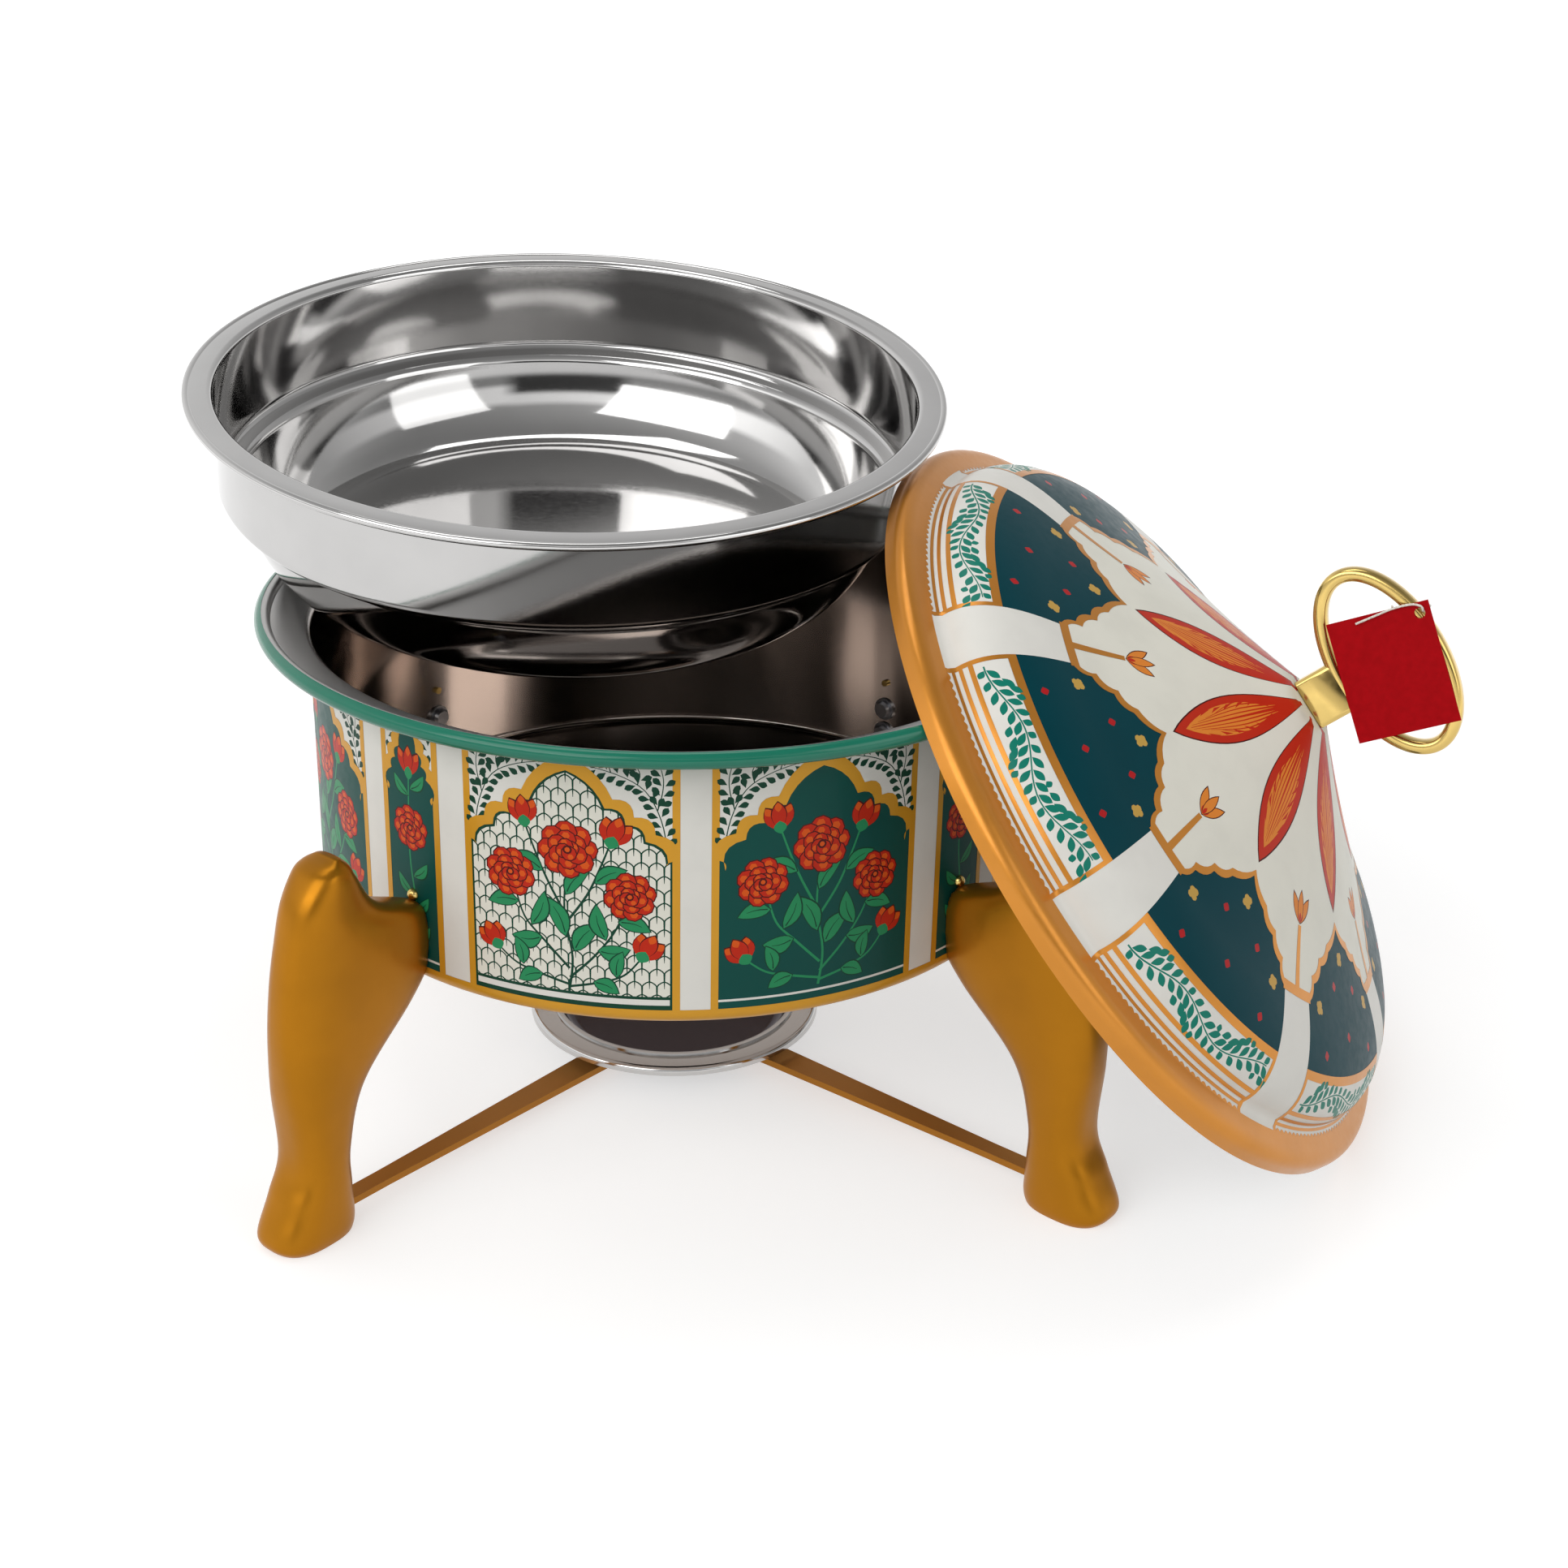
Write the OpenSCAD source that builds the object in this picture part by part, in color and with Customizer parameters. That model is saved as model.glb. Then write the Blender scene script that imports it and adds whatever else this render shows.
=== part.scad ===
/* [Drum] */
// Outer radius of the drum wall
drum_r = 155; // [130:1:190]
// Sheet thickness of the drum
drum_sheet = 1.5; // [1:0.1:2.5]
// Height of the drum's underside above the table
drum_lift = 90.5; // [75:0.5:120]
// Depth of the drum from its underside to the inner edge of its rim
drum_depth = 117; // [100:1:150]
// Radius of the fold between the wall and the underside
base_fold = 5; // [3:0.5:8]
// Reach of the rim outside the drum wall
rim_reach = 22; // [16:0.5:30]
// Rise of the rim from the wall out to its bead
rim_rise = 4; // [1:0.5:8]
// Radius of the rolled bead on the rim
bead_r = 3.5; // [2.5:0.25:5]

/* [Legs] */
// Reach of the knee outside the drum wall
knee_reach = 73; // [60:1:90]
// Reach of the toe outside the drum wall
toe_reach = 84; // [74:1:105]
// Depth of the ankle from its back to its front
ankle_depth = 27; // [20:0.5:34]
// Height of the ankle above the table
ankle_h = 36; // [28:1:44]
// Width of the leg across its front
leg_w = 31; // [24:0.5:38]
// Width of the pad that bears on the drum
pad_w = 20; // [16:0.5:24]
// Height of the pad above the drum's underside
pad_h = 32; // [30:1:42]
// Height of the scroll above the pad
scroll_h = 38; // [28:1:48]

/* [Leg fixings] */
// Radius of the screw shanks
screw_r = 2.5; // [2:0.25:3]
// Radius of the screw heads
screw_head_r = 4.4; // [3.5:0.1:5.5]
// Height of the screw heads
screw_head_h = 2.6; // [2:0.1:4]
// Depth that a screw reaches into the leg
screw_bite = 13; // [8:0.5:18]
// Spacing of the two screws of a leg
screw_pitch = 12.5; // [12:0.5:14]
// Radius of the washers
washer_r = 5.5; // [5:0.25:6.5]
// Thickness of the washers
washer_t = 1; // [0.6:0.1:1.6]
// Radius of the domed rivet above each pad
rivet_head_r = 2.6; // [2.2:0.1:4]
// Radius of the rivet shanks
rivet_r = 1.6; // [1.2:0.1:2]
// Length of a rivet's tail inside the drum
rivet_tail = 1.5; // [1:0.1:2.5]

/* [Brace] */
// Width of a brace bar at its middle
bar_mid_w = 15; // [11:0.5:20]
// Width of a brace bar in the legs
bar_end_w = 8; // [6:0.5:11]
// Thickness of a brace bar
bar_t = 3; // [2:0.25:4]
// Height of the lower bar's underside above the table
bar_lift = 5; // [4:0.5:7]
// Depth of the pocket that holds a bar in a leg
bar_seat = 7; // [4:0.5:10]
// Radius of the rivet where the bars cross
cross_rivet_r = 3; // [2:0.25:4]

/* [Burner] */
// Radius of the burner dish over its flange
dish_r = 65; // [55:1:80]
// Width of the dish's flange
dish_flange = 11; // [8:0.5:16]
// Depth of the bowl below the flange
bowl_depth = 6; // [4:0.5:12]
// Sheet thickness of the dish
dish_sheet = 0.8; // [0.6:0.1:1.2]

/* [Food pan] */
// Gap between the pan's wall and the inside of the drum
pan_fit = 1.5; // [1:0.25:3]
// Sheet thickness of the pan
pan_sheet = 1; // [0.8:0.1:1.5]
// Width of the pan's flange
pan_flange = 12; // [9:0.5:14]
// Height of the pan's straight wall
pan_wall_h = 44; // [36:1:52]
// Depth of the pan
pan_depth = 82; // [72:1:92]
// Distance from the pan's wall in to its flat floor
pan_dish = 37; // [28:1:48]
// Width of the ledge between the pan's wall and its dish
pan_ledge = 8.5; // [6:0.5:12]
// Radius of the fold between the pan's wall and its flange
pan_fold = 2; // [1.5:0.25:3]
// Radius of the pan's rolled edge
pan_edge_r = 1.7; // [1.2:0.1:2.2]
// Tilt of the pan as it stands
pan_tilt = 7.5; // [4:0.5:10]
// Direction that the pan leans towards
pan_lean = 280; // [270:1:290]
// Direction from the pan's axis to the lid's top edge
pan_side = -25; // [-30:1:-18]

/* [Lid] */
// Sheet thickness of the lid
lid_sheet = 1.2; // [0.8:0.1:1.6]
// Overlap of the lid's edge with the rim's bead
lid_lap = 5; // [4:0.5:7]
// Height of the lid's turned-down skirt
skirt_h = 4; // [3:0.5:6]
// Width of the brim
brim_w = 15; // [11:0.5:20]
// Height of the fold between the brim and the dome
brim_rise = 12; // [9:0.5:16]
// Distance from the fold in to the dome's shoulder
shoulder_in = 37; // [30:1:44]
// Height of the shoulder above the fold
shoulder_h = 30.5; // [24:0.5:36]
// Height of the crown above the shoulder
crown_h = 44.5; // [40:0.5:60]
// Radius of the flat seat on the crown
crown_r = 13.5; // [13:0.25:15]
// Tilt of the lid as it leans on the rim
lid_tilt = 51.5; // [48:0.5:55]
// Direction that the leaning lid faces
lid_face = -22; // [-30:1:-14]
// Distance of the leaning lid's middle outside the drum wall
lid_stand = 47; // [40:1:60]

/* [Handle] */
// Width of the handle's loop
loop_w = 85; // [64:1:96]
// Height of the handle's loop
loop_h = 48; // [38:1:56]
// Thickness of the loop's bar in the plane of the loop
loop_bar_t = 6; // [4:0.25:6.5]
// Width of the loop's bar across the plane of the loop
loop_bar_w = 9; // [7:0.25:11]
// Width of the neck
neck_w = 22; // [16:0.5:24]
// Thickness of the neck
neck_t = 9; // [8:0.5:11]
// Height of the neck between the crown and the loop
neck_h = 13.5; // [9:0.5:16]
// Turn of the handle about the lid's axis
handle_turn = -9.5; // [-20:0.5:0]
// Radius of the washer under the crown
handle_washer_r = 9; // [7:0.5:12]
// Depth that the handle's screw reaches into the neck
handle_bite = 8; // [6:0.5:9]

/* [Hang tag] */
// Short side of the tag
tag_w = 42; // [34:1:50]
// Long side of the tag
tag_l = 51; // [42:1:60]
// Thickness of the card
tag_t = 0.6; // [0.4:0.1:1]
// Distance of the hole from the two sides at its corner
tag_margin = 4.5; // [4:0.25:7]
// Radius of the hole
tag_hole_r = 2.2; // [2:0.1:3]
// Turn of the tag in the plane of the loop
tag_turn = -15.7; // [-20:0.1:-10]
// Diameter of the string
string_d = 1; // [0.8:0.1:1.2]

/* [Fits] */
// Gap between loose pieces that rest on each other
rest_gap = 0.3; // [0.2:0.05:0.5]
// Gap round screws, rivets and bars in their holes
hole_gap = 0.2; // [0.1:0.05:0.4]
// Gap between a leg's pad and the drum wall
pad_gap = 0.1; // [0.05:0.05:0.3]

/* [Hidden] */
$fn = 96;

// Directions of the legs round the drum
leg_dirs = [45, 135, 225, 315];

// Overrun of a cutter past the faces that it opens
cut = 10;

// Drum heights and rim
lip_z = drum_lift + drum_depth;
drum_in_r = drum_r - drum_sheet;
bead_at = [drum_r + rim_reach - bead_r, lip_z + rim_rise];
rim_flare = 3;

// Leg levels and reaches
pad_top = drum_lift + pad_h;
knee_r = drum_r + knee_reach;
toe_r = drum_r + toe_reach;
heel_r = knee_r - ankle_depth;
toe_h = 5;
sole_skim = 1;

// Screw rows in a leg, and the rivet above its pad
screw_low = drum_lift + base_fold + washer_r + 1;
screw_levels = [screw_low, screw_low + screw_pitch];
washer_face_r = sqrt(drum_in_r * drum_in_r - washer_r * washer_r) - hole_gap / 4;
rivet_level = pad_top + rivet_head_r + 3;

// Brace and burner levels
bar_top = bar_lift + 2 * bar_t;
bar_reach = heel_r - 2 + bar_seat;
dish_z = bar_top + rest_gap;
bowl_r = dish_r - dish_flange;

// Radii of the pan and the lid
pan_r = drum_in_r - pan_fit;
pan_flange_r = pan_r + pan_flange;
pan_edge_at = [pan_flange_r - pan_edge_r, -pan_sheet - pan_edge_r / 2];
lid_r = drum_r + rim_reach - lid_lap;
dome_r = lid_r - brim_w;
shoulder = [dome_r - shoulder_in, brim_rise + shoulder_h];
crown = [crown_r, brim_rise + shoulder_h + crown_h];

// Vector and curve helpers
function unit(v) = v / norm(v);
function reverse(p) = [for (i = [len(p) - 1:-1:0]) p[i]];
function bezier(a, b, c, d, n) = [
    for (i = [0:n])
        let (t = i / n, u = 1 - t) u * u * u * a + 3 * u * u * t * b + 3 * u * t * t * c + t * t * t * d
];
function arc(centre, r, from, to, n) =
    [for (i = [0:n]) let (a = from + (to - from) * i / n) centre + r * [cos(a), sin(a)]];
function catmull(a, b, c, d, t) =
    b + (c - a) * t / 2 + (2 * a - 5 * b + 4 * c - d) * t * t / 2 + (3 * b - a - 3 * c + d) * t * t * t / 2;
function spline(p, n) = concat(
    [for (i = [0:len(p) - 2], j = [0:n - 1])
        catmull(p[max(i - 1, 0)], p[i], p[i + 1], p[min(i + 2, len(p) - 1)], j / n)],
    [p[len(p) - 1]]);

// Outline of a sheet that lies on the left of a line
function tangent(p, i) = unit(p[min(i + 1, len(p) - 1)] - p[max(i - 1, 0)]);
function beside(p, d) = [for (i = [0:len(p) - 1]) let (t = tangent(p, i)) p[i] + d * [-t.y, t.x]];
function sheet(p, d) = concat(p, reverse(beside(p, d)));

// Outer line of the drum, from the axis out to the rim's bead
drum_line = concat(
    [[0, drum_lift]],
    arc([drum_r - base_fold, drum_lift + base_fold], base_fold, -90, 0, 6),
    reverse(arc([drum_r + rim_flare, lip_z - rim_flare - drum_sheet], rim_flare, 105, 180, 5)),
    [bead_at - [0, drum_sheet / 2]]);

// Outer line of the pan, from the axis out to its flange, with its flange level at zero
pan_line = concat(
    [[0, -pan_depth]],
    bezier([pan_r - pan_dish, -pan_depth], [pan_r - pan_dish * 0.55, -pan_depth],
        [pan_r - pan_ledge - 2.5, -pan_wall_h - 14], [pan_r - pan_ledge, -pan_wall_h - 4], 9),
    bezier([pan_r - pan_ledge + 1.5, -pan_wall_h - 2.5], [pan_r - 2, -pan_wall_h - 1],
        [pan_r, -pan_wall_h], [pan_r, 4 - pan_wall_h], 5),
    arc([pan_r + pan_fold, -pan_fold - pan_sheet], pan_fold, 180, 96, 4),
    [pan_edge_at]);

// Outer line of the lid, from its edge in to the axis, with its edge level at zero
lid_line = concat(
    [[lid_r, 0]],
    bezier([lid_r, skirt_h], [lid_r, brim_rise - 3.5], [lid_r - 3, brim_rise - 2.4],
        [lid_r - 7, brim_rise - 1.8], 5),
    [[dome_r + 2, brim_rise - 0.6]],
    bezier([dome_r, brim_rise + 1], [dome_r, brim_rise + 14], [dome_r - 11, shoulder.y - 7.5], shoulder, 9),
    [for (i = [1:10]) bezier(shoulder, shoulder + [-25, 8], crown + [38, -18.5], crown, 10)[i]],
    [[0, crown.y]]);

// Reach of a point from an axis, and its height along it
function on_axis(p, origin, axis) =
    let (v = p - origin, h = v * axis) [norm(v - h * axis), h];
function segment_gap(p, a, b) =
    let (t = max(0, min(1, (p - a) * (b - a) / ((b - a) * (b - a))))) norm(p - a - t * (b - a));
function line_gap(p, line) = min([for (i = [0:len(line) - 2]) segment_gap(p, line[i], line[i + 1])]);

// Least gap between a turned line and the rim's bead, seen over a span of the rim
function rim_gap(line, origin, axis, from, to) = min([
    for (a = [from:1:to])
        line_gap(on_axis([bead_at.x * cos(a), bead_at.x * sin(a), bead_at.y], origin, axis), line)
]) - bead_r;

// Pose of the leaning lid: its edge on the table, the rim's bead against its inside
lid_axis = [sin(lid_tilt) * cos(lid_face), sin(lid_tilt) * sin(lid_face), cos(lid_tilt)];
lid_down = [cos(lid_tilt) * cos(lid_face), cos(lid_tilt) * sin(lid_face), -sin(lid_tilt)];
lid_in_line = beside(lid_line, lid_sheet);
function lid_at(dir) =
    [(drum_r + lid_stand) * cos(dir), (drum_r + lid_stand) * sin(dir), lid_r * sin(lid_tilt)];
function lid_side(clear, shut, n) =
    n == 0 ? clear
    : let (mid = (clear + shut) / 2, gap = rim_gap(lid_in_line, lid_at(mid), lid_axis, mid - 60, mid))
        gap > rest_gap ? lid_side(mid, shut, n - 1) : lid_side(clear, mid, n - 1);
lid_origin = lid_at(lid_side(lid_face, lid_face + 30, 14));
lid_top = lid_origin - lid_r * lid_down;

// Pose of the tipped pan: its wall against the lid's top edge, its dish on the rim's bead
pan_axis = [sin(pan_tilt) * cos(pan_lean), sin(pan_tilt) * sin(pan_lean), cos(pan_tilt)];
pan_off = (pan_r + 4 * rest_gap) / cos(pan_tilt);
pan_foot = lid_top - pan_off * [cos(pan_side), sin(pan_side), 0];
function pan_height(low, high, n) =
    n == 0 ? high
    : let (mid = (low + high) / 2, gap = rim_gap(pan_line, pan_foot + mid * pan_axis, pan_axis, 60, 320))
        gap > rest_gap ? pan_height(low, mid, n - 1) : pan_height(mid, high, n - 1);
pan_origin = pan_foot + pan_height(-pan_wall_h / 2, 2 * pan_depth, 16) * pan_axis;

// Middle of the handle's loop above the lid's edge, and the half sizes of its bar's path
loop_z = crown.y + neck_h + loop_h / 2;
loop_rx = (loop_w - loop_bar_t) / 2;
loop_rz = (loop_h - loop_bar_t) / 2;

// Place of the tag in front of the loop: its hole hangs over the loop's bar
tag_hole = [-11, loop_z + 22];
tag_back = -max(loop_bar_w, neck_t) / 2 - rest_gap;

// Route of the string about the tag's hole, from its loose end through the hole and round the bar
string_path = [
    [-9, -6.6, -24], [-8.4, -6.7, -19], [-7.8, -6.7, -14], [-7.2, -6.7, -9], [-6, -6.8, -4],
    [-4.4, -7, 0], [-2.2, -7.1, 2.2], [-0.6, -6.2, 1.9], [0, -4.6, 1.5], [0.1, -2.6, 2.6],
    [0.1, -0.4, 3.6], [0, 2, 3.5], [-0.2, 4.4, 2.2], [-0.6, 5.9, -0.2], [-1, 6.3, -3],
    [-1.8, 5.6, -5.8], [-3, 3.8, -8], [-4.6, 1.2, -9.1], [-6.2, -1.6, -9.2], [-7.8, -4, -8.2]
];

// Skin of rings: each ring is joined to the next, and the ends are closed unless the rings run round a loop
function ring_faces(i, j, n) = [
    for (k = [0:n - 1])
        let (m = (k + 1) % n)
        each [[i * n + k, j * n + k, i * n + m], [i * n + m, j * n + k, j * n + m]]
];
module skin(rings, looped = false) {
    n = len(rings[0]);
    last = len(rings) - 1;
    sides = [for (i = [0:last - 1]) each ring_faces(i, i + 1, n)];
    ends = looped ? ring_faces(last, 0, n)
        : [[for (k = [0:n - 1]) k], [for (k = [n - 1:-1:0]) last * n + k]];
    polyhedron([for (r = rings) each r], concat(sides, ends), convexity = 6);
}

// Power of a cosine or a sine that keeps its sign, for soft-cornered sections
function soft(v, p) = sign(v) * pow(abs(v), p);

module each_leg() {
    for (a = leg_dirs) rotate([0, 0, a]) children();
}

// Lies along a leg's direction at a level, pointing outwards
module outward(level, reach) {
    translate([reach, 0, level]) rotate([0, 90, 0]) children();
}

module drum() {
    color("darkgreen")
    difference() {
        rotate_extrude($fn = 180) {
            polygon(sheet(drum_line, drum_sheet));
            translate(bead_at) circle(bead_r);
        }
        each_leg() {
            for (z = screw_levels) outward(z, drum_r - cut) cylinder(r = screw_r + hole_gap, h = 2 * cut);
            outward(rivet_level, drum_r - cut) cylinder(r = rivet_r + hole_gap, h = 2 * cut);
        }
    }
}

// Stations of a leg from the sole up: reach and height of its back, of its front, and their half widths
function leg_stations() =
    let (mid_z = (ankle_h + drum_lift) / 2, w = leg_w / 2, p = pad_w / 2) [
        [heel_r, -sole_skim, toe_r - 4, -sole_skim, w * 0.8, w * 0.85],
        [heel_r - 2, toe_h, toe_r, toe_h, w * 0.86, w * 0.98],
        [heel_r - 1.5, ankle_h * 0.55, knee_r + 4, ankle_h * 0.55, w * 0.82, w * 0.95],
        [heel_r - 2, ankle_h + 2, knee_r - 2.5, ankle_h, w * 0.78, w * 0.9],
        [heel_r - 12, mid_z - 1, knee_r - 0.5, mid_z + 3, w * 0.76, w * 0.96],
        [drum_r + 5, drum_lift - 4, knee_r, drum_lift - 2, p, w],
        [drum_r - 6, drum_lift + 12, knee_r - 2, drum_lift + 19, p, w],
        [drum_r - 4, pad_top, knee_r - 5.5, pad_top + 4, p, w * 0.98],
        [drum_r + 22, pad_top + scroll_h * 0.32, knee_r - 11, pad_top + scroll_h * 0.55, p, w * 0.92],
        [drum_r + 33, pad_top + scroll_h * 0.74, knee_r - 18, pad_top + scroll_h * 0.84, w * 0.7, w * 0.8],
        [drum_r + 36, pad_top + scroll_h * 0.89, knee_r - 23, pad_top + scroll_h * 0.94, w * 0.58, w * 0.66],
        [drum_r + 39.5, pad_top + scroll_h * 0.98, knee_r - 29, pad_top + scroll_h, w * 0.36, w * 0.42]
    ];

// Soft-cornered ring of a leg at one station
function leg_ring(s, n) = [
    for (k = [0:n - 1])
        let (c = soft(cos(360 * k / n), 0.75), v = soft(sin(360 * k / n), 0.75), t = (1 + c) / 2)
        [s[0] + t * (s[2] - s[0]), v * (s[4] + t * (s[5] - s[4])), s[1] + t * (s[3] - s[1])]
];

module brace_bar_end(level) {
    slot_w = bar_end_w + 2 * hole_gap;
    translate([heel_r - 2 * cut, -slot_w / 2, level - hole_gap])
        cube([bar_reach + rest_gap - heel_r + 2 * cut, slot_w, bar_t + 2 * hole_gap]);
}

module cast_leg(bar_level) {
    difference() {
        skin([for (s = spline(leg_stations(), 3)) leg_ring(s, 24)]);
        translate([0, 0, -cut]) cylinder(r = drum_r + pad_gap, h = lip_z, $fn = 180);
        translate([0, -leg_w, -2 * sole_skim]) cube([toe_r + cut, 2 * leg_w, 2 * sole_skim]);
        brace_bar_end(bar_level);
        for (z = screw_levels)
            outward(z, drum_r - cut) cylinder(r = screw_r + hole_gap, h = cut + screw_bite + 2 * hole_gap);
    }
}

module leg_front_left() {
    color("goldenrod") rotate([0, 0, 225]) cast_leg(bar_lift);
}

module leg_front_right() {
    color("goldenrod") rotate([0, 0, 315]) cast_leg(bar_lift + bar_t);
}

module leg_rear_left() {
    color("goldenrod") rotate([0, 0, 135]) cast_leg(bar_lift + bar_t);
}

module leg_rear_right() {
    color("goldenrod") rotate([0, 0, 45]) cast_leg(bar_lift);
}

module leg_screws() {
    color("silver")
    each_leg()
    for (z = screw_levels)
        outward(z, washer_face_r - washer_t - screw_head_h) {
            cylinder(r1 = screw_head_r * 0.8, r2 = screw_head_r, h = screw_head_h / 2);
            translate([0, 0, screw_head_h / 2]) cylinder(r = screw_head_r, h = screw_head_h / 2);
            cylinder(r = screw_r, h = drum_r + screw_bite - washer_face_r + washer_t + screw_head_h);
        }
}

module leg_washers() {
    color("gainsboro")
    each_leg()
    for (z = screw_levels)
        outward(z, washer_face_r - washer_t)
            difference() {
                cylinder(r = washer_r, h = washer_t);
                translate([0, 0, -cut]) cylinder(r = screw_r + hole_gap, h = washer_t + 2 * cut);
            }
}

module pad_rivets() {
    tail = drum_sheet + rivet_tail;
    color("gold")
    each_leg() {
        difference() {
            outward(rivet_level, drum_r) sphere(r = rivet_head_r);
            translate([0, 0, rivet_level - cut]) cylinder(r = drum_r + hole_gap / 4, h = 2 * cut, $fn = 180);
        }
        outward(rivet_level, drum_r - tail) cylinder(r = rivet_r, h = tail + rivet_head_r / 2);
    }
}

// Brace bar along X: wide over the crossing, narrow where it enters the legs
module brace_bar(level) {
    half = [bar_reach, bar_end_w / 2];
    translate([0, 0, level])
    difference() {
        linear_extrude(bar_t)
            polygon([
                for (s = [[1, 1], [-1, 1], [-1, -1], [1, -1]])
                    let (
                        tip = [s.x * half.x, s.y * half.y],
                        neck = [s.x * (heel_r - 22), s.y * half.y],
                        swell = [s.x * bar_mid_w, s.y * bar_mid_w / 2]
                    )
                    each s.x * s.y > 0 ? [tip, neck, swell] : [swell, neck, tip]
            ]);
        translate([0, 0, -cut]) cylinder(r = cross_rivet_r + hole_gap, h = bar_t + 2 * cut);
    }
}

module brace_bar_lower() {
    color("peru") rotate([0, 0, 45]) brace_bar(bar_lift);
}

module brace_bar_upper() {
    color("peru") rotate([0, 0, 135]) brace_bar(bar_lift + bar_t);
}

module brace_rivet() {
    head_h = 1.5;
    color("peru")
    translate([0, 0, bar_lift]) {
        cylinder(r = cross_rivet_r, h = 2 * bar_t - hole_gap);
        translate([0, 0, -head_h]) cylinder(r1 = cross_rivet_r + 1, r2 = cross_rivet_r + 2.2, h = head_h);
    }
}

module burner_dish() {
    top = dish_z + bowl_depth;
    lip_h = 1.4;
    line = concat(
        [[0, dish_z]],
        bezier([bowl_r - 9, dish_z], [bowl_r - 4, dish_z], [bowl_r - 0.6, dish_z + bowl_depth / 2],
            [bowl_r - 0.4, top], 6),
        [[bowl_r, top + lip_h], [bowl_r + 1, top + lip_h], [bowl_r + 1.6, top]],
        arc([dish_r - 1.5, top - 1.5], 1.5, 90, 0, 4),
        [[dish_r, top - 3]]);
    color("gray")
    rotate_extrude($fn = 120) polygon(sheet(line, dish_sheet));
}

module pan_place() {
    translate(pan_origin) rotate([0, 0, pan_lean]) rotate([0, pan_tilt, 0]) children();
}

module food_pan() {
    color("lightgray")
    pan_place()
    rotate_extrude($fn = 180) {
        polygon(sheet(pan_line, pan_sheet));
        translate(pan_edge_at) circle(pan_edge_r, $fn = 24);
    }
}

module lid_place() {
    translate(lid_origin) rotate([0, 0, lid_face]) rotate([0, lid_tilt, 0]) children();
}

module handle_place() {
    lid_place() rotate([0, 0, handle_turn]) children();
}

module lid_shell() {
    color("teal")
    lid_place()
    difference() {
        rotate_extrude($fn = 180) polygon(sheet(lid_line, lid_sheet));
        translate([0, 0, crown.y - cut]) cylinder(r = screw_r + hole_gap, h = 2 * cut);
    }
}

// Section of the loop's bar at an angle of its path: soft-cornered, flat across the plane of the loop
function loop_ring(a, n) =
    let (at = [loop_rx * cos(a), loop_rz * sin(a)], out = unit([cos(a) / loop_rx, sin(a) / loop_rz])) [
        for (k = [0:n - 1])
            let (
                u = soft(cos(360 * k / n), 0.7) * loop_bar_t / 2,
                v = soft(sin(360 * k / n), 0.7) * loop_bar_w / 2
            )
            [at.x + u * out.x, v, loop_z + at.y + u * out.y]
    ];

module lid_handle() {
    corner = 2;
    seat = [neck_w / 2 - corner, neck_t / 2 - corner];
    outline = [
        for (q = [[1, 1, 0], [-1, 1, 90], [-1, -1, 180], [1, -1, 270]])
            each arc([q.x * seat.x, q.y * seat.y], corner, q.z, q.z + 90, 4)
    ];
    color("gold")
    handle_place()
    difference() {
        union() {
            skin([for (a = [0:6:354]) loop_ring(a, 12)], looped = true);
            translate([0, 0, crown.y]) linear_extrude(neck_h + loop_bar_t * 0.8) polygon(outline);
        }
        translate([0, 0, crown.y - cut])
            cylinder(r = screw_r + hole_gap, h = cut + handle_bite + 2 * hole_gap);
    }
}

module handle_washer() {
    color("silver")
    lid_place()
    translate([0, 0, crown.y - lid_sheet - washer_t])
    difference() {
        cylinder(r = handle_washer_r, h = washer_t);
        translate([0, 0, -cut]) cylinder(r = screw_r + hole_gap, h = washer_t + 2 * cut);
    }
}

module handle_screw() {
    under = crown.y - lid_sheet - washer_t;
    color("gray")
    lid_place()
    translate([0, 0, under - screw_head_h]) {
        cylinder(r1 = screw_head_r * 0.8, r2 = screw_head_r, h = screw_head_h);
        cylinder(r = screw_r, h = screw_head_h + crown.y + handle_bite - under);
    }
}

module hang_tag() {
    color("crimson")
    handle_place()
    translate([tag_hole.x, tag_back, tag_hole.y])
    rotate([90, 0, 0])
    rotate([0, 0, tag_turn])
    linear_extrude(tag_t)
    difference() {
        translate([-tag_margin, tag_margin - tag_w]) square([tag_l, tag_w]);
        circle(tag_hole_r, $fn = 32);
    }
}

// Round ring of the string at a point of its path
function string_ring(p, i, n) =
    let (
        t = unit(p[min(i + 1, len(p) - 1)] - p[max(i - 1, 0)]),
        u = unit(cross(t, [1, 0, 0.2])),
        v = cross(t, u)
    )
    [for (k = [0:n - 1]) p[i] + string_d / 2 * (cos(360 * k / n) * u + sin(360 * k / n) * v)];

module tag_string() {
    path = spline(string_path, 2);
    color("white")
    handle_place()
    translate([tag_hole.x, 0, tag_hole.y])
        skin([for (i = [0:len(path) - 1]) string_ring(path, i, 8)]);
}

drum();
leg_front_left();
leg_front_right();
leg_rear_left();
leg_rear_right();
leg_screws();
leg_washers();
pad_rivets();
brace_bar_lower();
brace_bar_upper();
brace_rivet();
burner_dish();
food_pan();
lid_shell();
lid_handle();
handle_washer();
handle_screw();
hang_tag();
tag_string();
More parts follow.
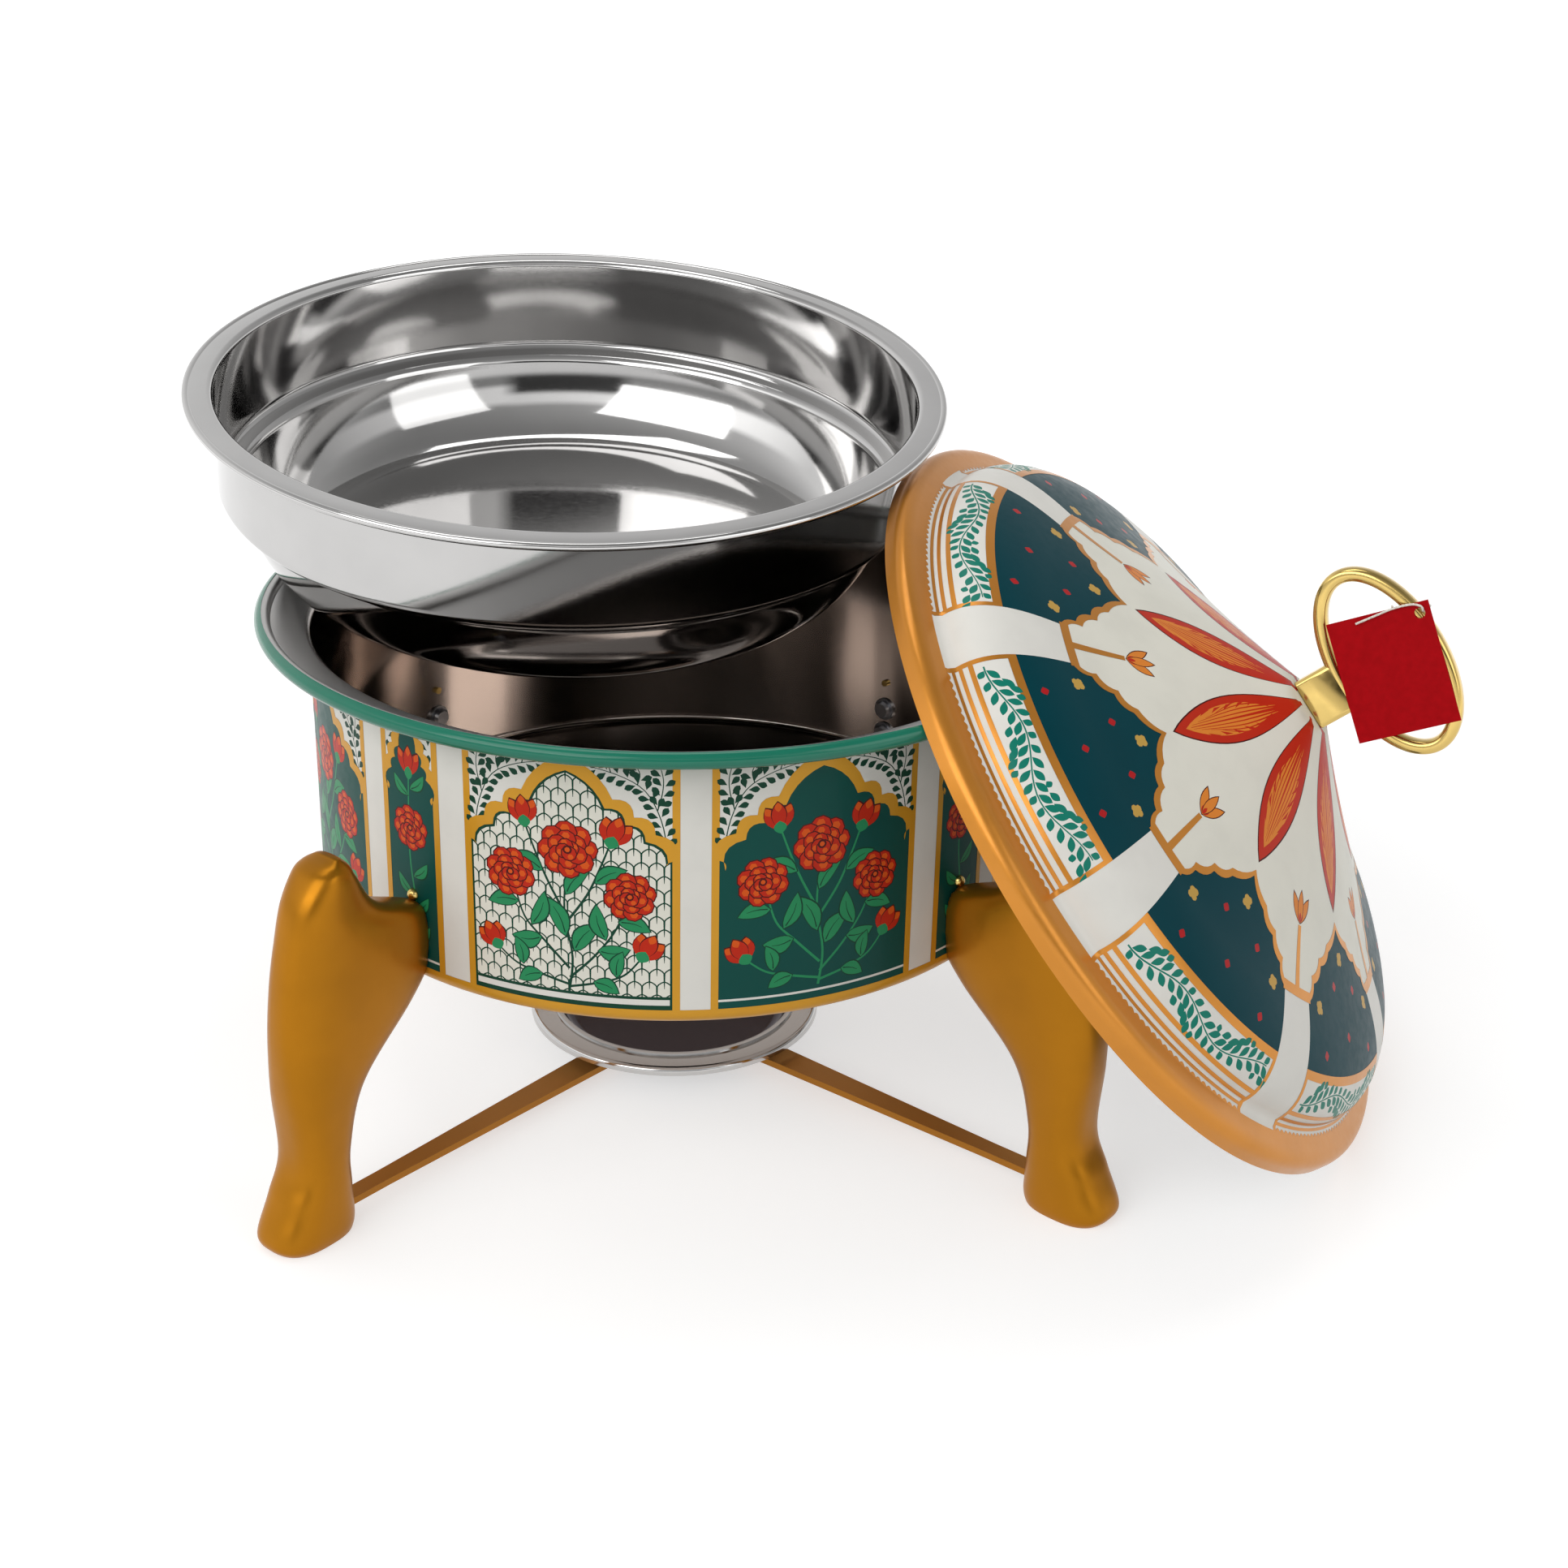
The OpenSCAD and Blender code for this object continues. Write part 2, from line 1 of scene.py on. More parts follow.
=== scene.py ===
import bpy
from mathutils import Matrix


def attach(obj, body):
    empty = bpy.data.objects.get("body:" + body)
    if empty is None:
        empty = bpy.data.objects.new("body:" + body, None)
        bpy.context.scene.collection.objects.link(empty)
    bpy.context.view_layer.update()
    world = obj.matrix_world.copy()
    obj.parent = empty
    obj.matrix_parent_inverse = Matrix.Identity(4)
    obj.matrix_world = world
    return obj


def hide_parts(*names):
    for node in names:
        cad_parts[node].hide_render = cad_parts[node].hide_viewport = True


bl_info = {
    "name": "Painted chafing dish",
    "version": (1, 0, 0),
    "blender": (4, 5, 0),
    "location": "View3D > Sidebar > Dish",
    "description": "Dresses the chafing dish: painted drum and lid, steel pan, cast legs, brass handle",
    "category": "Object",
}

import math

import bmesh
import bpy
from bpy.props import FloatProperty, FloatVectorProperty, IntProperty, PointerProperty
from mathutils import Matrix, Vector
from mathutils.geometry import delaunay_2d_cdt

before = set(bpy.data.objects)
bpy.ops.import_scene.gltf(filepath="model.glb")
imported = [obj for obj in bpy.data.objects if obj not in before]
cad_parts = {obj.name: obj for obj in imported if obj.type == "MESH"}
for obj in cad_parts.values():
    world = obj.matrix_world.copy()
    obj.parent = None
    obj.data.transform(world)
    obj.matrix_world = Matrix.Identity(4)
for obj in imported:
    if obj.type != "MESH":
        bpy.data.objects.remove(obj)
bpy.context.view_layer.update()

# Sizes below are in millimetres, and places turn them into metres
MM = 0.001
DRUM_R = 155.0
DRUM_SHEET = 1.5
DRUM_LIFT = 90.5
LIP_Z = 207.5
BEAD_AT = (173.5, 211.5)
BEAD_R = 3.5
BASE_FOLD = 5.0
RIM_FLARE = 3.0
LEG_NAMES = {"leg_rear_right": 45, "leg_rear_left": 135, "leg_front_left": 225, "leg_front_right": 315}
LID_SEAT = (195.72, -49.98, 134.61)
LID_TILT, LID_FACE = 51.5, -22.0
LID_R = 172.0
LID_SHEET = 1.2
BRIM_TOP = 11.3
NECK_R = 13.5
CROWN_Z = 87.0
HANDLE_TURN = -9.5
LOOP_Z = 124.5
PAN_SEAT = (-43.03, 52.18, 294.34)
PAN_TILT, PAN_LEAN = 7.5, 280.0

# Paint: its gap to the steel below, and how far gold and the other colours stay inside the CAD face
GAP = 0.02
GOLD_DROP, PAINT_DROP = 0.02, 0.1

# Angles over which an edge stays sharp, on plain pieces and on rolled ones
CREASE, ROLLED_CREASE = 38.0, 60.0

# The tag's string: its route is measured from the tag's hole
TAG_HOLE = (-11.0, 0.0, 146.5)
STRING_R = 0.5
STRING_TWIST = 2.2
STRING_EXIT = (-0.2, 4.4, 2.2)
STRING_PATH = [
    (-7.8, -4, -8.2), (-6.2, -1.6, -9.2), (-4.6, 1.2, -9.1), (-3, 3.8, -8), (-1.8, 5.6, -5.8),
    (-1, 6.3, -3), (-0.6, 5.9, -0.2), STRING_EXIT, (0, 2, 3.5), (0.1, -0.4, 3.6),
    (0.1, -2.6, 2.6), (0, -4.6, 1.5), (-0.6, -6.2, 1.9), (-2.2, -7.1, 2.2), (-4.4, -7, 0),
    (-6, -6.8, -4), (-7.2, -6.7, -9), (-7.8, -6.7, -14), (-8.4, -6.7, -19), (-9, -6.6, -24),
]

# The photograph's width and the focal length that was fitted to it, in pixels
PHOTO_WIDTH, PHOTO_FOCAL = 1932, 3000


def placed(seat=(0, 0, 0), tilt=0.0, face=0.0, turn=0.0):
    """Matrix that takes a piece's own millimetres to its place in the frame."""
    return (
        Matrix.Translation(Vector(seat) * MM)
        @ Matrix.Rotation(math.radians(face), 4, "Z")
        @ Matrix.Rotation(math.radians(tilt), 4, "Y")
        @ Matrix.Rotation(math.radians(turn), 4, "Z")
        @ Matrix.Scale(MM, 4)
    )


UPRIGHT = placed()
LID = placed(LID_SEAT, LID_TILT, LID_FACE)
HANDLE = placed(LID_SEAT, LID_TILT, LID_FACE, HANDLE_TURN)
PAN = placed(PAN_SEAT, PAN_TILT, PAN_LEAN)


def srgb(r, g, b):
    """Linear colour of a screen colour from 0 to 255."""
    shares = (r / 255, g / 255, b / 255)
    return tuple(c / 12.92 if c <= 0.04045 else ((c + 0.055) / 1.055) ** 2.4 for c in shares)


def colour_prop(name, what, rgb):
    return FloatVectorProperty(
        name=name, description=what, subtype="COLOR", size=3, min=0, max=1, default=srgb(*rgb))


def angle_prop(name, what, degrees):
    return FloatProperty(name=name, description=what, subtype="ANGLE", default=math.radians(degrees))


class DishPaint(bpy.types.PropertyGroup):
    """Colours and thickness of the paint on the drum and the lid."""

    coat: FloatProperty(
        name="Coat", description="Thickness of the paint", unit="LENGTH", precision=5,
        default=0.3 * MM, min=0.15 * MM, max=1.0 * MM)
    white: colour_prop("White", "Ground of the stripes and the spandrels", (226, 224, 217))
    cream: colour_prop("Cream", "Ground of the scaled panels and the dome", (226, 224, 212))
    teal: colour_prop("Teal", "Ground of the dark panels", (4, 72, 65))
    dome_teal: colour_prop("Dome teal", "Ground of the lid's panels", (0, 60, 69))
    gold: colour_prop("Gold paint", "Lines and arches", (208, 150, 40))
    brim: colour_prop("Brim gold", "The lid's brim", (206, 136, 52))
    green: colour_prop("Leaf green", "Leaves of the plants", (40, 138, 88))
    bottle: colour_prop("Bottle green", "Scales, sprigs and lines", (12, 62, 44))
    rim: colour_prop("Rim green", "Enamel of the rolled rim", (20, 116, 92))
    scarlet: colour_prop("Scarlet", "Petals", (190, 42, 20))
    orange: colour_prop("Orange", "Lights on the lid's petals", (222, 132, 48))
    ember: colour_prop("Ember", "Lights on the drum's petals", (216, 88, 26))
    wine: colour_prop("Wine", "Shade and outlines of the petals", (72, 16, 14))
    scroll: colour_prop("Scroll green", "Leaf scroll of the lid", (18, 122, 104))
    flag: colour_prop("Red fleck", "Red flecks of the lid's panels", (178, 26, 30))
    ochre: colour_prop("Ochre fleck", "Ochre flecks of the lid's panels", (196, 156, 74))


class DishMetal(bpy.types.PropertyGroup):
    """Colours of the bare and gilded metal, and how finely it is turned."""

    steel: colour_prop("Steel", "Polished steel of the pan and the drum's inside", (198, 197, 196))
    # Painted shade: the burner's dark colour stands for the dark reflection under the drum, not smoke on the
    # steel
    burner: colour_prop("Burner", "Smoked bowl of the burner dish", (44, 34, 38))
    gilt: colour_prop("Gilt", "Gold finish of the cast legs", (174, 114, 22))
    brass: colour_prop("Brass", "The lid's handle", (216, 186, 112))
    bronze: colour_prop("Bronze", "The crossed bars", (170, 112, 40))
    zinc: colour_prop("Zinc", "Screws and washers", (176, 178, 182))
    segments: IntProperty(name="Segments", description="Sides of a turned piece", default=176, min=48)


class DishStage(bpy.types.PropertyGroup):
    """The camera's place, and the level of the light."""

    camera: FloatVectorProperty(
        name="Camera", description="Place of the camera", subtype="XYZ", unit="LENGTH",
        default=(-0.05113, -0.98557, 0.56464))
    yaw: angle_prop("Yaw", "Turn from +Y towards +X", 5.777)
    pitch: angle_prop("Pitch", "Look downwards", 23.995)
    roll: angle_prop("Roll", "Lean of the frame", 1.204)
    focal: FloatProperty(
        name="Focal length", description="In frame widths", default=PHOTO_FOCAL / PHOTO_WIDTH)
    key: FloatProperty(name="Key light", description="Power of the key light", unit="POWER", default=27.0)
    fill: FloatProperty(name="Fill light", description="Power of the fill lights", unit="POWER", default=10.0)


# Curves and outlines


def bezier(a, b, c, d, n):
    out = []
    for i in range(n + 1):
        t = i / n
        u = 1 - t
        w = (u * u * u, 3 * u * u * t, 3 * u * t * t, t * t * t)
        out.append(tuple(w[0] * p + w[1] * q + w[2] * r + w[3] * s for p, q, r, s in zip(a, b, c, d)))
    return out


def arc(centre, r, start, end, n):
    return [
        (centre[0] + r * math.cos(math.radians(start + (end - start) * i / n)),
         centre[1] + r * math.sin(math.radians(start + (end - start) * i / n)))
        for i in range(n + 1)
    ]


def circle(n):
    """Directions round a full turn, each a cosine and a sine."""
    return [(math.cos(2 * math.pi * k / n), math.sin(2 * math.pi * k / n)) for k in range(n)]


def soft_square(n, power):
    """Points round a square with soft corners, squarer at a lower power."""
    return [tuple(math.copysign(abs(v) ** power, v) for v in way) for way in circle(n)]


def spline(points, n):
    """Smooth curve through points of two or more numbers, n steps to each span."""
    out = []
    last = len(points) - 1
    for i in range(last):
        a, b, c, d = points[max(i - 1, 0)], points[i], points[i + 1], points[min(i + 2, last)]
        for j in range(n):
            t = j / n
            out.append(tuple(
                q + (r - p) * t / 2 + (2 * p - 5 * q + 4 * r - s) * t * t / 2
                + (3 * q - p - 3 * r + s) * t ** 3 / 2
                for p, q, r, s in zip(a, b, c, d)))
    out.append(tuple(points[last]))
    return out


def beside(line, gap):
    """The line moved to its left."""
    out = []
    for i, p in enumerate(line):
        a, b = line[max(i - 1, 0)], line[min(i + 1, len(line) - 1)]
        x, y = b[0] - a[0], b[1] - a[1]
        size = math.hypot(x, y)
        out.append((p[0] - gap * y / size, p[1] + gap * x / size))
    return out


def sheet(line, gap):
    """Closed outline of a sheet on the left of a line."""
    return list(line) + beside(line, gap)[::-1]


# Meshes


def add_piece(name, mesh, body, material, nodes=()):
    obj = bpy.data.objects.new(name, mesh)
    bpy.context.scene.collection.objects.link(obj)
    mesh.materials.append(material)
    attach(obj, body)
    if nodes:
        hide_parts(*nodes)
    return obj


def smooth_mesh(name, verts, faces, place=UPRIGHT, crease=CREASE):
    """Closed mesh in its place, smooth but for edges sharper than the crease."""
    mesh = bpy.data.meshes.new(name)
    mesh.from_pydata([place @ Vector(v) for v in verts], [], faces)
    bm = bmesh.new()
    bm.from_mesh(mesh)
    bmesh.ops.remove_doubles(bm, verts=bm.verts, dist=1e-7)
    bmesh.ops.dissolve_degenerate(bm, edges=bm.edges, dist=1e-7)
    bmesh.ops.recalc_face_normals(bm, faces=bm.faces)
    bm.to_mesh(mesh)
    bm.free()
    mesh.shade_smooth()
    mesh.set_sharp_from_angle(angle=math.radians(crease))
    return mesh


def turned(outline, n):
    """Vertices and faces of a closed outline of (radius, height) turned about its axis."""
    verts, rings, faces = [], [], []
    for r, z in outline:
        if r < 1e-6:
            rings.append([len(verts)] * n)
            verts.append((0, 0, z))
        else:
            rings.append(list(range(len(verts), len(verts) + n)))
            verts += [(r * c, r * s, z) for c, s in circle(n)]
    for a, b in zip(rings, rings[1:] + rings[:1]):
        for k in range(n):
            m = (k + 1) % n
            face = list(dict.fromkeys((a[k], a[m], b[m], b[k])))
            if len(face) > 2:
                faces.append(face)
    return verts, faces


def skinned(rings, looped=False):
    """Vertices and faces of rings that are joined one to the next, with closed ends or round a loop."""
    n = len(rings[0])
    verts = [p for ring in rings for p in ring]
    count = len(rings)
    faces = []
    for i in range(count if looped else count - 1):
        j = (i + 1) % count
        for k in range(n):
            m = (k + 1) % n
            faces.append((i * n + k, i * n + m, j * n + m, j * n + k))
    if not looped:
        faces.append(tuple(range(n))[::-1])
        faces.append(tuple((count - 1) * n + k for k in range(n)))
    return verts, faces


def add_turned(name, outline, n, body, material, nodes=(), place=UPRIGHT, crease=CREASE):
    """Adds a piece that is turned from a closed outline."""
    add_piece(name, smooth_mesh(name, *turned(outline, n), place, crease), body, material, nodes)


# Finishes


def add_node(tree, kind, **settings):
    node = tree.nodes.new(kind)
    for key, value in settings.items():
        setattr(node, key, value)
    return node


def map_range(tree, value, start, end, low=0.0, high=1.0):
    """Node that takes a value from one span to another."""
    node = add_node(tree, "ShaderNodeMapRange")
    for key, number in (("From Min", start), ("From Max", end), ("To Min", low), ("To Max", high)):
        node.inputs[key].default_value = number
    tree.links.new(value, node.inputs["Value"])
    return node


def colour_ramp(tree, value, stops):
    """Colour along a value, from stops of (position, colour)."""
    node = add_node(tree, "ShaderNodeValToRGB")
    items = node.color_ramp.elements
    while len(items) < len(stops):
        items.new(0.5)
    for item, (at, colour) in zip(items, stops):
        item.position = at
        item.color = (*colour, 1)
    tree.links.new(value, node.inputs["Fac"])
    return node.outputs["Color"]


class Finish:
    """A node-based material with one Principled shader."""

    def __init__(self, name, **sockets):
        self.material = bpy.data.materials.new(name)
        self.material.use_nodes = True
        self.tree = self.material.node_tree
        self.shader = self.tree.nodes["Principled BSDF"]
        for socket, value in sockets.items():
            title = socket.replace("_", " ").title().replace("Ior", "IOR")
            self.shader.inputs[title].default_value = value
        self.place = add_node(self.tree, "ShaderNodeTexCoord").outputs["Object"]

    def link(self, a, b):
        self.tree.links.new(a, b)

    def noise(self, scale, detail, stretch=(1, 1, 1)):
        """Noise in metres of the frame, stretched along some axes."""
        spread = add_node(self.tree, "ShaderNodeMapping")
        spread.inputs["Scale"].default_value = stretch
        grain = add_node(self.tree, "ShaderNodeTexNoise")
        grain.inputs["Scale"].default_value = scale
        grain.inputs["Detail"].default_value = detail
        grain.inputs["Roughness"].default_value = 0.55
        self.link(self.place, spread.inputs["Vector"])
        self.link(spread.outputs["Vector"], grain.inputs["Vector"])
        return grain.outputs["Fac"]

    def radius(self, start, end):
        """Share of the way from one distance off the upright axis to another."""
        flat = add_node(self.tree, "ShaderNodeVectorMath", operation="MULTIPLY")
        flat.inputs[1].default_value = (1, 1, 0)
        reach = add_node(self.tree, "ShaderNodeVectorMath", operation="LENGTH")
        self.link(self.place, flat.inputs[0])
        self.link(flat.outputs["Vector"], reach.inputs[0])
        return map_range(self.tree, reach.outputs["Value"], start, end).outputs["Result"]

    def colour(self, value, *stops):
        self.link(colour_ramp(self.tree, value, stops), self.shader.inputs["Base Color"])

    def gloss(self, value, low, high, start=0.3, end=0.7):
        """Roughness from low to high as the value goes from its start to its end."""
        ranged = map_range(self.tree, value, start, end, low, high)
        self.link(ranged.outputs["Result"], self.shader.inputs["Roughness"])

    def bump(self, value, height, strength):
        bump = add_node(self.tree, "ShaderNodeBump")
        bump.inputs["Strength"].default_value = strength
        bump.inputs["Distance"].default_value = height
        self.link(value, bump.inputs["Height"])
        self.link(bump.outputs["Normal"], self.shader.inputs["Normal"])


def shade(colour, level):
    return tuple(min(1.0, c * level) for c in colour)


def enamel(name, colour, coat=0.05, rough=(0.3, 0.4), metal=0.0, shine=0.12):
    """Brushed-on lacquer paint: slight tone drift, fine brush ridges, a thin glossy coat."""
    look = Finish(name, metallic=metal, coat_weight=coat, coat_roughness=0.1, specular_ior_level=shine)
    look.colour(look.noise(40, 4), (0.3, shade(colour, 0.95)), (0.52, colour), (0.75, shade(colour, 1.025)))
    look.gloss(look.noise(240, 2), *rough)
    look.bump(look.noise(500, 1, (1, 1, 0.3)), 0.00001, 0.06)
    return look.material


def polished(name, colour, rough, lines=(1, 1, 1), depth=0.06, grain=500):
    """Polished metal with faint drawn or spun lines and a soft haze."""
    look = Finish(name, metallic=1.0)
    look.colour(look.noise(30, 3), (0.3, shade(colour, 1 - depth)), (0.7, colour))
    look.gloss(look.noise(grain, 3, lines), *rough)
    look.bump(look.noise(grain * 1.7, 2, lines), 0.00002, 0.12)
    return look.material


def gilt(name, colour):
    """Gold finish on a casting: warm drift of tone, soft sheen, fine sand texture."""
    look = Finish(name, metallic=0.75, specular_ior_level=0.15)
    look.colour(look.noise(16, 3), (0.25, shade(colour, 0.86)), (0.5, colour), (0.78, shade(colour, 1.08)))
    look.gloss(look.noise(160, 4), 0.29, 0.37)
    look.bump(look.noise(300, 2), 0.00003, 0.1)
    return look.material


def finish_node(name, material):
    """Gives a CAD node a finish."""
    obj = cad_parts[name]
    obj.data.materials.clear()
    obj.data.materials.append(material)


# Painted motifs, as outlines on a flat field in millimetres


def ccw(outline):
    area = sum(a[0] * b[1] - b[0] * a[1] for a, b in zip(outline, outline[1:] + outline[:1]))
    return outline if area > 0 else outline[::-1]


def stroke(line, width, tip=None):
    """Brush stroke along a line, which may thin out towards its end."""
    tip = width if tip is None else tip
    left, right = [], []
    last = len(line) - 1
    for i, p in enumerate(line):
        a, b = line[max(i - 1, 0)], line[min(i + 1, last)]
        x, y = b[0] - a[0], b[1] - a[1]
        half = (width + (tip - width) * i / last) / 2 / math.hypot(x, y)
        left.append((p[0] - half * y, p[1] + half * x))
        right.append((p[0] + half * y, p[1] - half * x))
    return left + right[::-1]


def blade(root, tip, width, bend=0.0, fat=0.5, n=7):
    """Leaf or petal between two points, pointed at both ends, widest at a share of its length."""
    x, y = tip[0] - root[0], tip[1] - root[1]
    size = math.hypot(x, y)
    power = math.log(0.5) / math.log(fat)
    up, down = [], []
    for i in range(n + 1):
        t = i / n
        half = width / 2 * math.sin(math.pi * t ** power) ** 0.85 if 0 < i < n else 0
        mid = bend * math.sin(math.pi * t)
        base = (root[0] + t * x - mid * y, root[1] + t * y + mid * x)
        up.append((base[0] - half * y / size, base[1] + half * x / size))
        if 0 < i < n:
            down.append((base[0] + half * y / size, base[1] - half * x / size))
    return up + down[::-1]


def disc(at, r, n=9):
    return [(at[0] + r * c, at[1] + r * s) for c, s in circle(n)]


def box(left, right, foot, top):
    return [(left, foot), (right, foot), (right, top), (left, top)]


def walk(line, step, start):
    """Points and directions at equal steps along a line."""
    out, left = [], start
    for a, b in zip(line, line[1:]):
        size = math.dist(a, b)
        dx, dy = (b[0] - a[0]) / size, (b[1] - a[1]) / size
        while left <= size:
            out.append((a[0] + left * dx, a[1] + left * dy, dx, dy))
            left += step
        left -= size
    return out


def scallops(points, bulge, n=5):
    """Arcs between points, each bulging to the left of its chord."""
    out = []
    for a, b in zip(points, points[1:]):
        x, y = b[0] - a[0], b[1] - a[1]
        for i in range(n):
            t = i / n
            lift = bulge * 4 * t * (1 - t)
            out.append((a[0] + t * x - lift * y, a[1] + t * y + lift * x))
    out.append(points[-1])
    return out


def mirrored(outline):
    return [(-x, y) for x, y in outline]


def moved(outline, dx, dy=0.0):
    return [(x + dx, y + dy) for x, y in outline]


def shifted(motifs, dx):
    """Motifs moved along the field, with the marks that end a clip left as they are."""
    return [(colour, outline and moved(outline, dx)) for colour, outline in motifs]


def spun(outline, degrees):
    c, s = math.cos(math.radians(degrees)), math.sin(math.radians(degrees))
    return [(c * x - s * y, s * x + c * y) for x, y in outline]


def blossom(at, r, turn):
    """Full round blossom: three rings of overlapping petals, each with a dark edge and a light."""
    out = []
    for count, reach, size, shift in ((8, 0.66, 0.4, 0.0), (6, 0.38, 0.34, 0.5), (4, 0.15, 0.26, 0.2)):
        for k in range(count):
            a = math.radians(turn) + 2 * math.pi * (k + shift) / count
            c, d = r * math.cos(a), r * math.sin(a)
            middle = (at[0] + reach * c, at[1] + reach * d)
            light = (at[0] + (reach + 0.14) * c, at[1] + (reach + 0.14) * d)
            out += [("wine", disc(middle, size * r + 0.5)), ("scarlet", disc(middle, size * r)),
                    ("ember", disc(light, 0.42 * size * r, 6))]
    return out + [("wine", disc(at, 0.17 * r)), ("ember", disc(at, 0.1 * r, 7))]


def bud(at, tip, width):
    """Closed flower of three petals over a green cup."""
    x, y = tip[0] - at[0], tip[1] - at[1]
    out = []
    for side in (-0.42, 0.42, 0.0):
        share = 1 - abs(side) * 0.35
        end = (at[0] + share * x - side * y, at[1] + share * y + side * x)
        out.append(("wine", blade(at, (end[0] + 0.06 * x, end[1] + 0.06 * y), width * 0.62 + 0.7, 0, 0.55)))
        out.append(("scarlet", blade(at, end, width * 0.62, 0, 0.55)))
        mid = ((at[0] + 2 * end[0]) / 3, (at[1] + 2 * end[1]) / 3)
        out.append(("ember", blade(mid, end, width * 0.3)))
    heel, top = (at[0] - 0.1 * x, at[1] - 0.1 * y), (at[0] + 0.35 * x, at[1] + 0.35 * y)
    return out + [("green", blade(heel, top, width * 0.55))]


def foliage(root, tip, width, bend, dark):
    """Leaf with a fine edge and a middle vein."""
    x, y = tip[0] - root[0], tip[1] - root[1]
    bows = [(t, bend * math.sin(math.pi * t)) for t in (0.08, 0.3, 0.5, 0.72)]
    vein = [(root[0] + t * x - bow * y, root[1] + t * y + bow * x) for t, bow in bows]
    heel, point = (root[0] - 0.04 * x, root[1] - 0.04 * y), (tip[0] + 0.05 * x, tip[1] + 0.05 * y)
    return [
        (dark, blade(heel, point, width + 1.1, bend, 0.45)),
        ("green", blade(root, tip, width, bend, 0.45)),
        (dark, stroke(vein, 0.55, 0.2)),
    ]


# The drum's field: heights of its foot and top, of the panels over the base line, and of what lies in them
FIELD_FOOT, FIELD_TOP = 95.5, 203.0
PANEL_FOOT = 97.2
FOOT_LINE = (100.2, 101.2)
FOOT_BAND = (99.2, 101.7)
SCALES_FOOT = 103
SPANDREL_FOOT = 140
NARROW_SPANDREL_FOOT = 150

# A wide panel: half its width, its blossoms, and the cusps of its arch from the spring to the point
PANEL_HALF = 40.7
BLOOMS = [((24.4, 146.0), 9.6, 12), ((-23.6, 151.0), 9.8, 30), ((0.2, 164.0), 11.2, 5)]
ARCH_SPRING = 158
ARCH_CUSPS = [(40.7, 161.5), (38.4, 157.2), (30.6, 169.7), (23.0, 176.0), (15.0, 182.7), (0.0, 197.0)]
ARCH_EDGE = [(43.6, 160.5), (42.5, 160.5), (34.4, 172.6), (26.2, 179.6), (18.0, 186.6), (0.0, 203.0)]

# Stems of a wide spandrel's sprig, and drops of a narrow one, from the spandrel's outer corner
SPRIG_STEMS = (
    [(-0.6, -38), (-3, -25), (-9, -13), (-20, -6.6), (-36, -3)],
    [(-4.4, -21), (-2.6, -14), (-2.2, -8), (-3.6, -2)],
    [(-12, -10.6), (-11, -6), (-13, -2)],
    [(-22, -6), (-23, -3.4), (-26, -1.6)],
)
NARROW_DROPS = (
    ((-1.6, -24), (-1.0, -19)), ((-2.2, -17), (-5.0, -14)), ((-1.4, -16), (-1.2, -11.5)),
    ((-2.0, -10), (-5.6, -8)), ((-1.4, -8), (-1.2, -3.8)), ((-5, -4.5), (-9, -3.2)),
    ((-2.4, -3.4), (-5.4, -1.4)),
)


def arch(cusps, foot, half):
    """Outline of a cusped arch on its panel, from the foot up one side and down the other."""
    side = scallops(cusps[:-1], -0.28) + scallops(cusps[-2:], -0.12)[1:]
    right = [(half, foot)] + side
    return right + mirrored(right[:-1])[::-1]


def sprig(corner, turn):
    """Branch of small drops that fills a spandrel from its outer corner."""
    out = []
    for stem in SPRIG_STEMS:
        line = spline(stem, 4)
        out.append(stroke(line, 0.5, 0.3))
        for x, y, dx, dy in walk(line, 4.1, 1.8):
            for side in (-1, 1):
                lx, ly = 0.6 * dx - side * 0.8 * dy, 0.6 * dy + side * 0.8 * dx
                out.append(blade((x + 0.8 * lx, y + 0.8 * ly), (x + 5.4 * lx, y + 5.4 * ly), 2.7, 0, 0.64, 5))
    return [("bottle", [(corner[0] + turn * x, corner[1] + y) for x, y in o]) for o in out]


def scales(half, foot, top):
    """Lattice of pointed scales, each side line running on as a tick; left open where a blossom covers it."""
    wide, high, rise, cover = 5.8, 5.7, 2.2, 2.4
    tick = -high - 1.0
    bow = ((0.0, 0.0), (0.12, 0.42), (0.3, 0.78), (0.5, 1.0), (0.7, 0.78), (0.88, 0.42), (1.0, 0.0))
    side = [(-0.4, 0.1), (-0.3, rise - high), (-0.1, tick), (0.1, tick), (0.3, rise - high), (0.4, 0.1)]

    def bare(*p):
        return all(math.dist(p, at) > r - cover for at, r, _ in BLOOMS)

    out = []
    row = 0
    y = foot - 1.2
    while y < top + high:
        x = -half + (0 if row % 2 else wide / 2) - wide
        while x < half + wide:
            if bare(x + wide / 2, y + rise):
                out.append(("bottle", stroke([(x + wide * t, y + rise * h) for t, h in bow], 0.58)))
            if bare(x, y - 3):
                out.append(("bottle", moved(side, x, y)))
            x += wide
        y += high
        row += 1
    return out


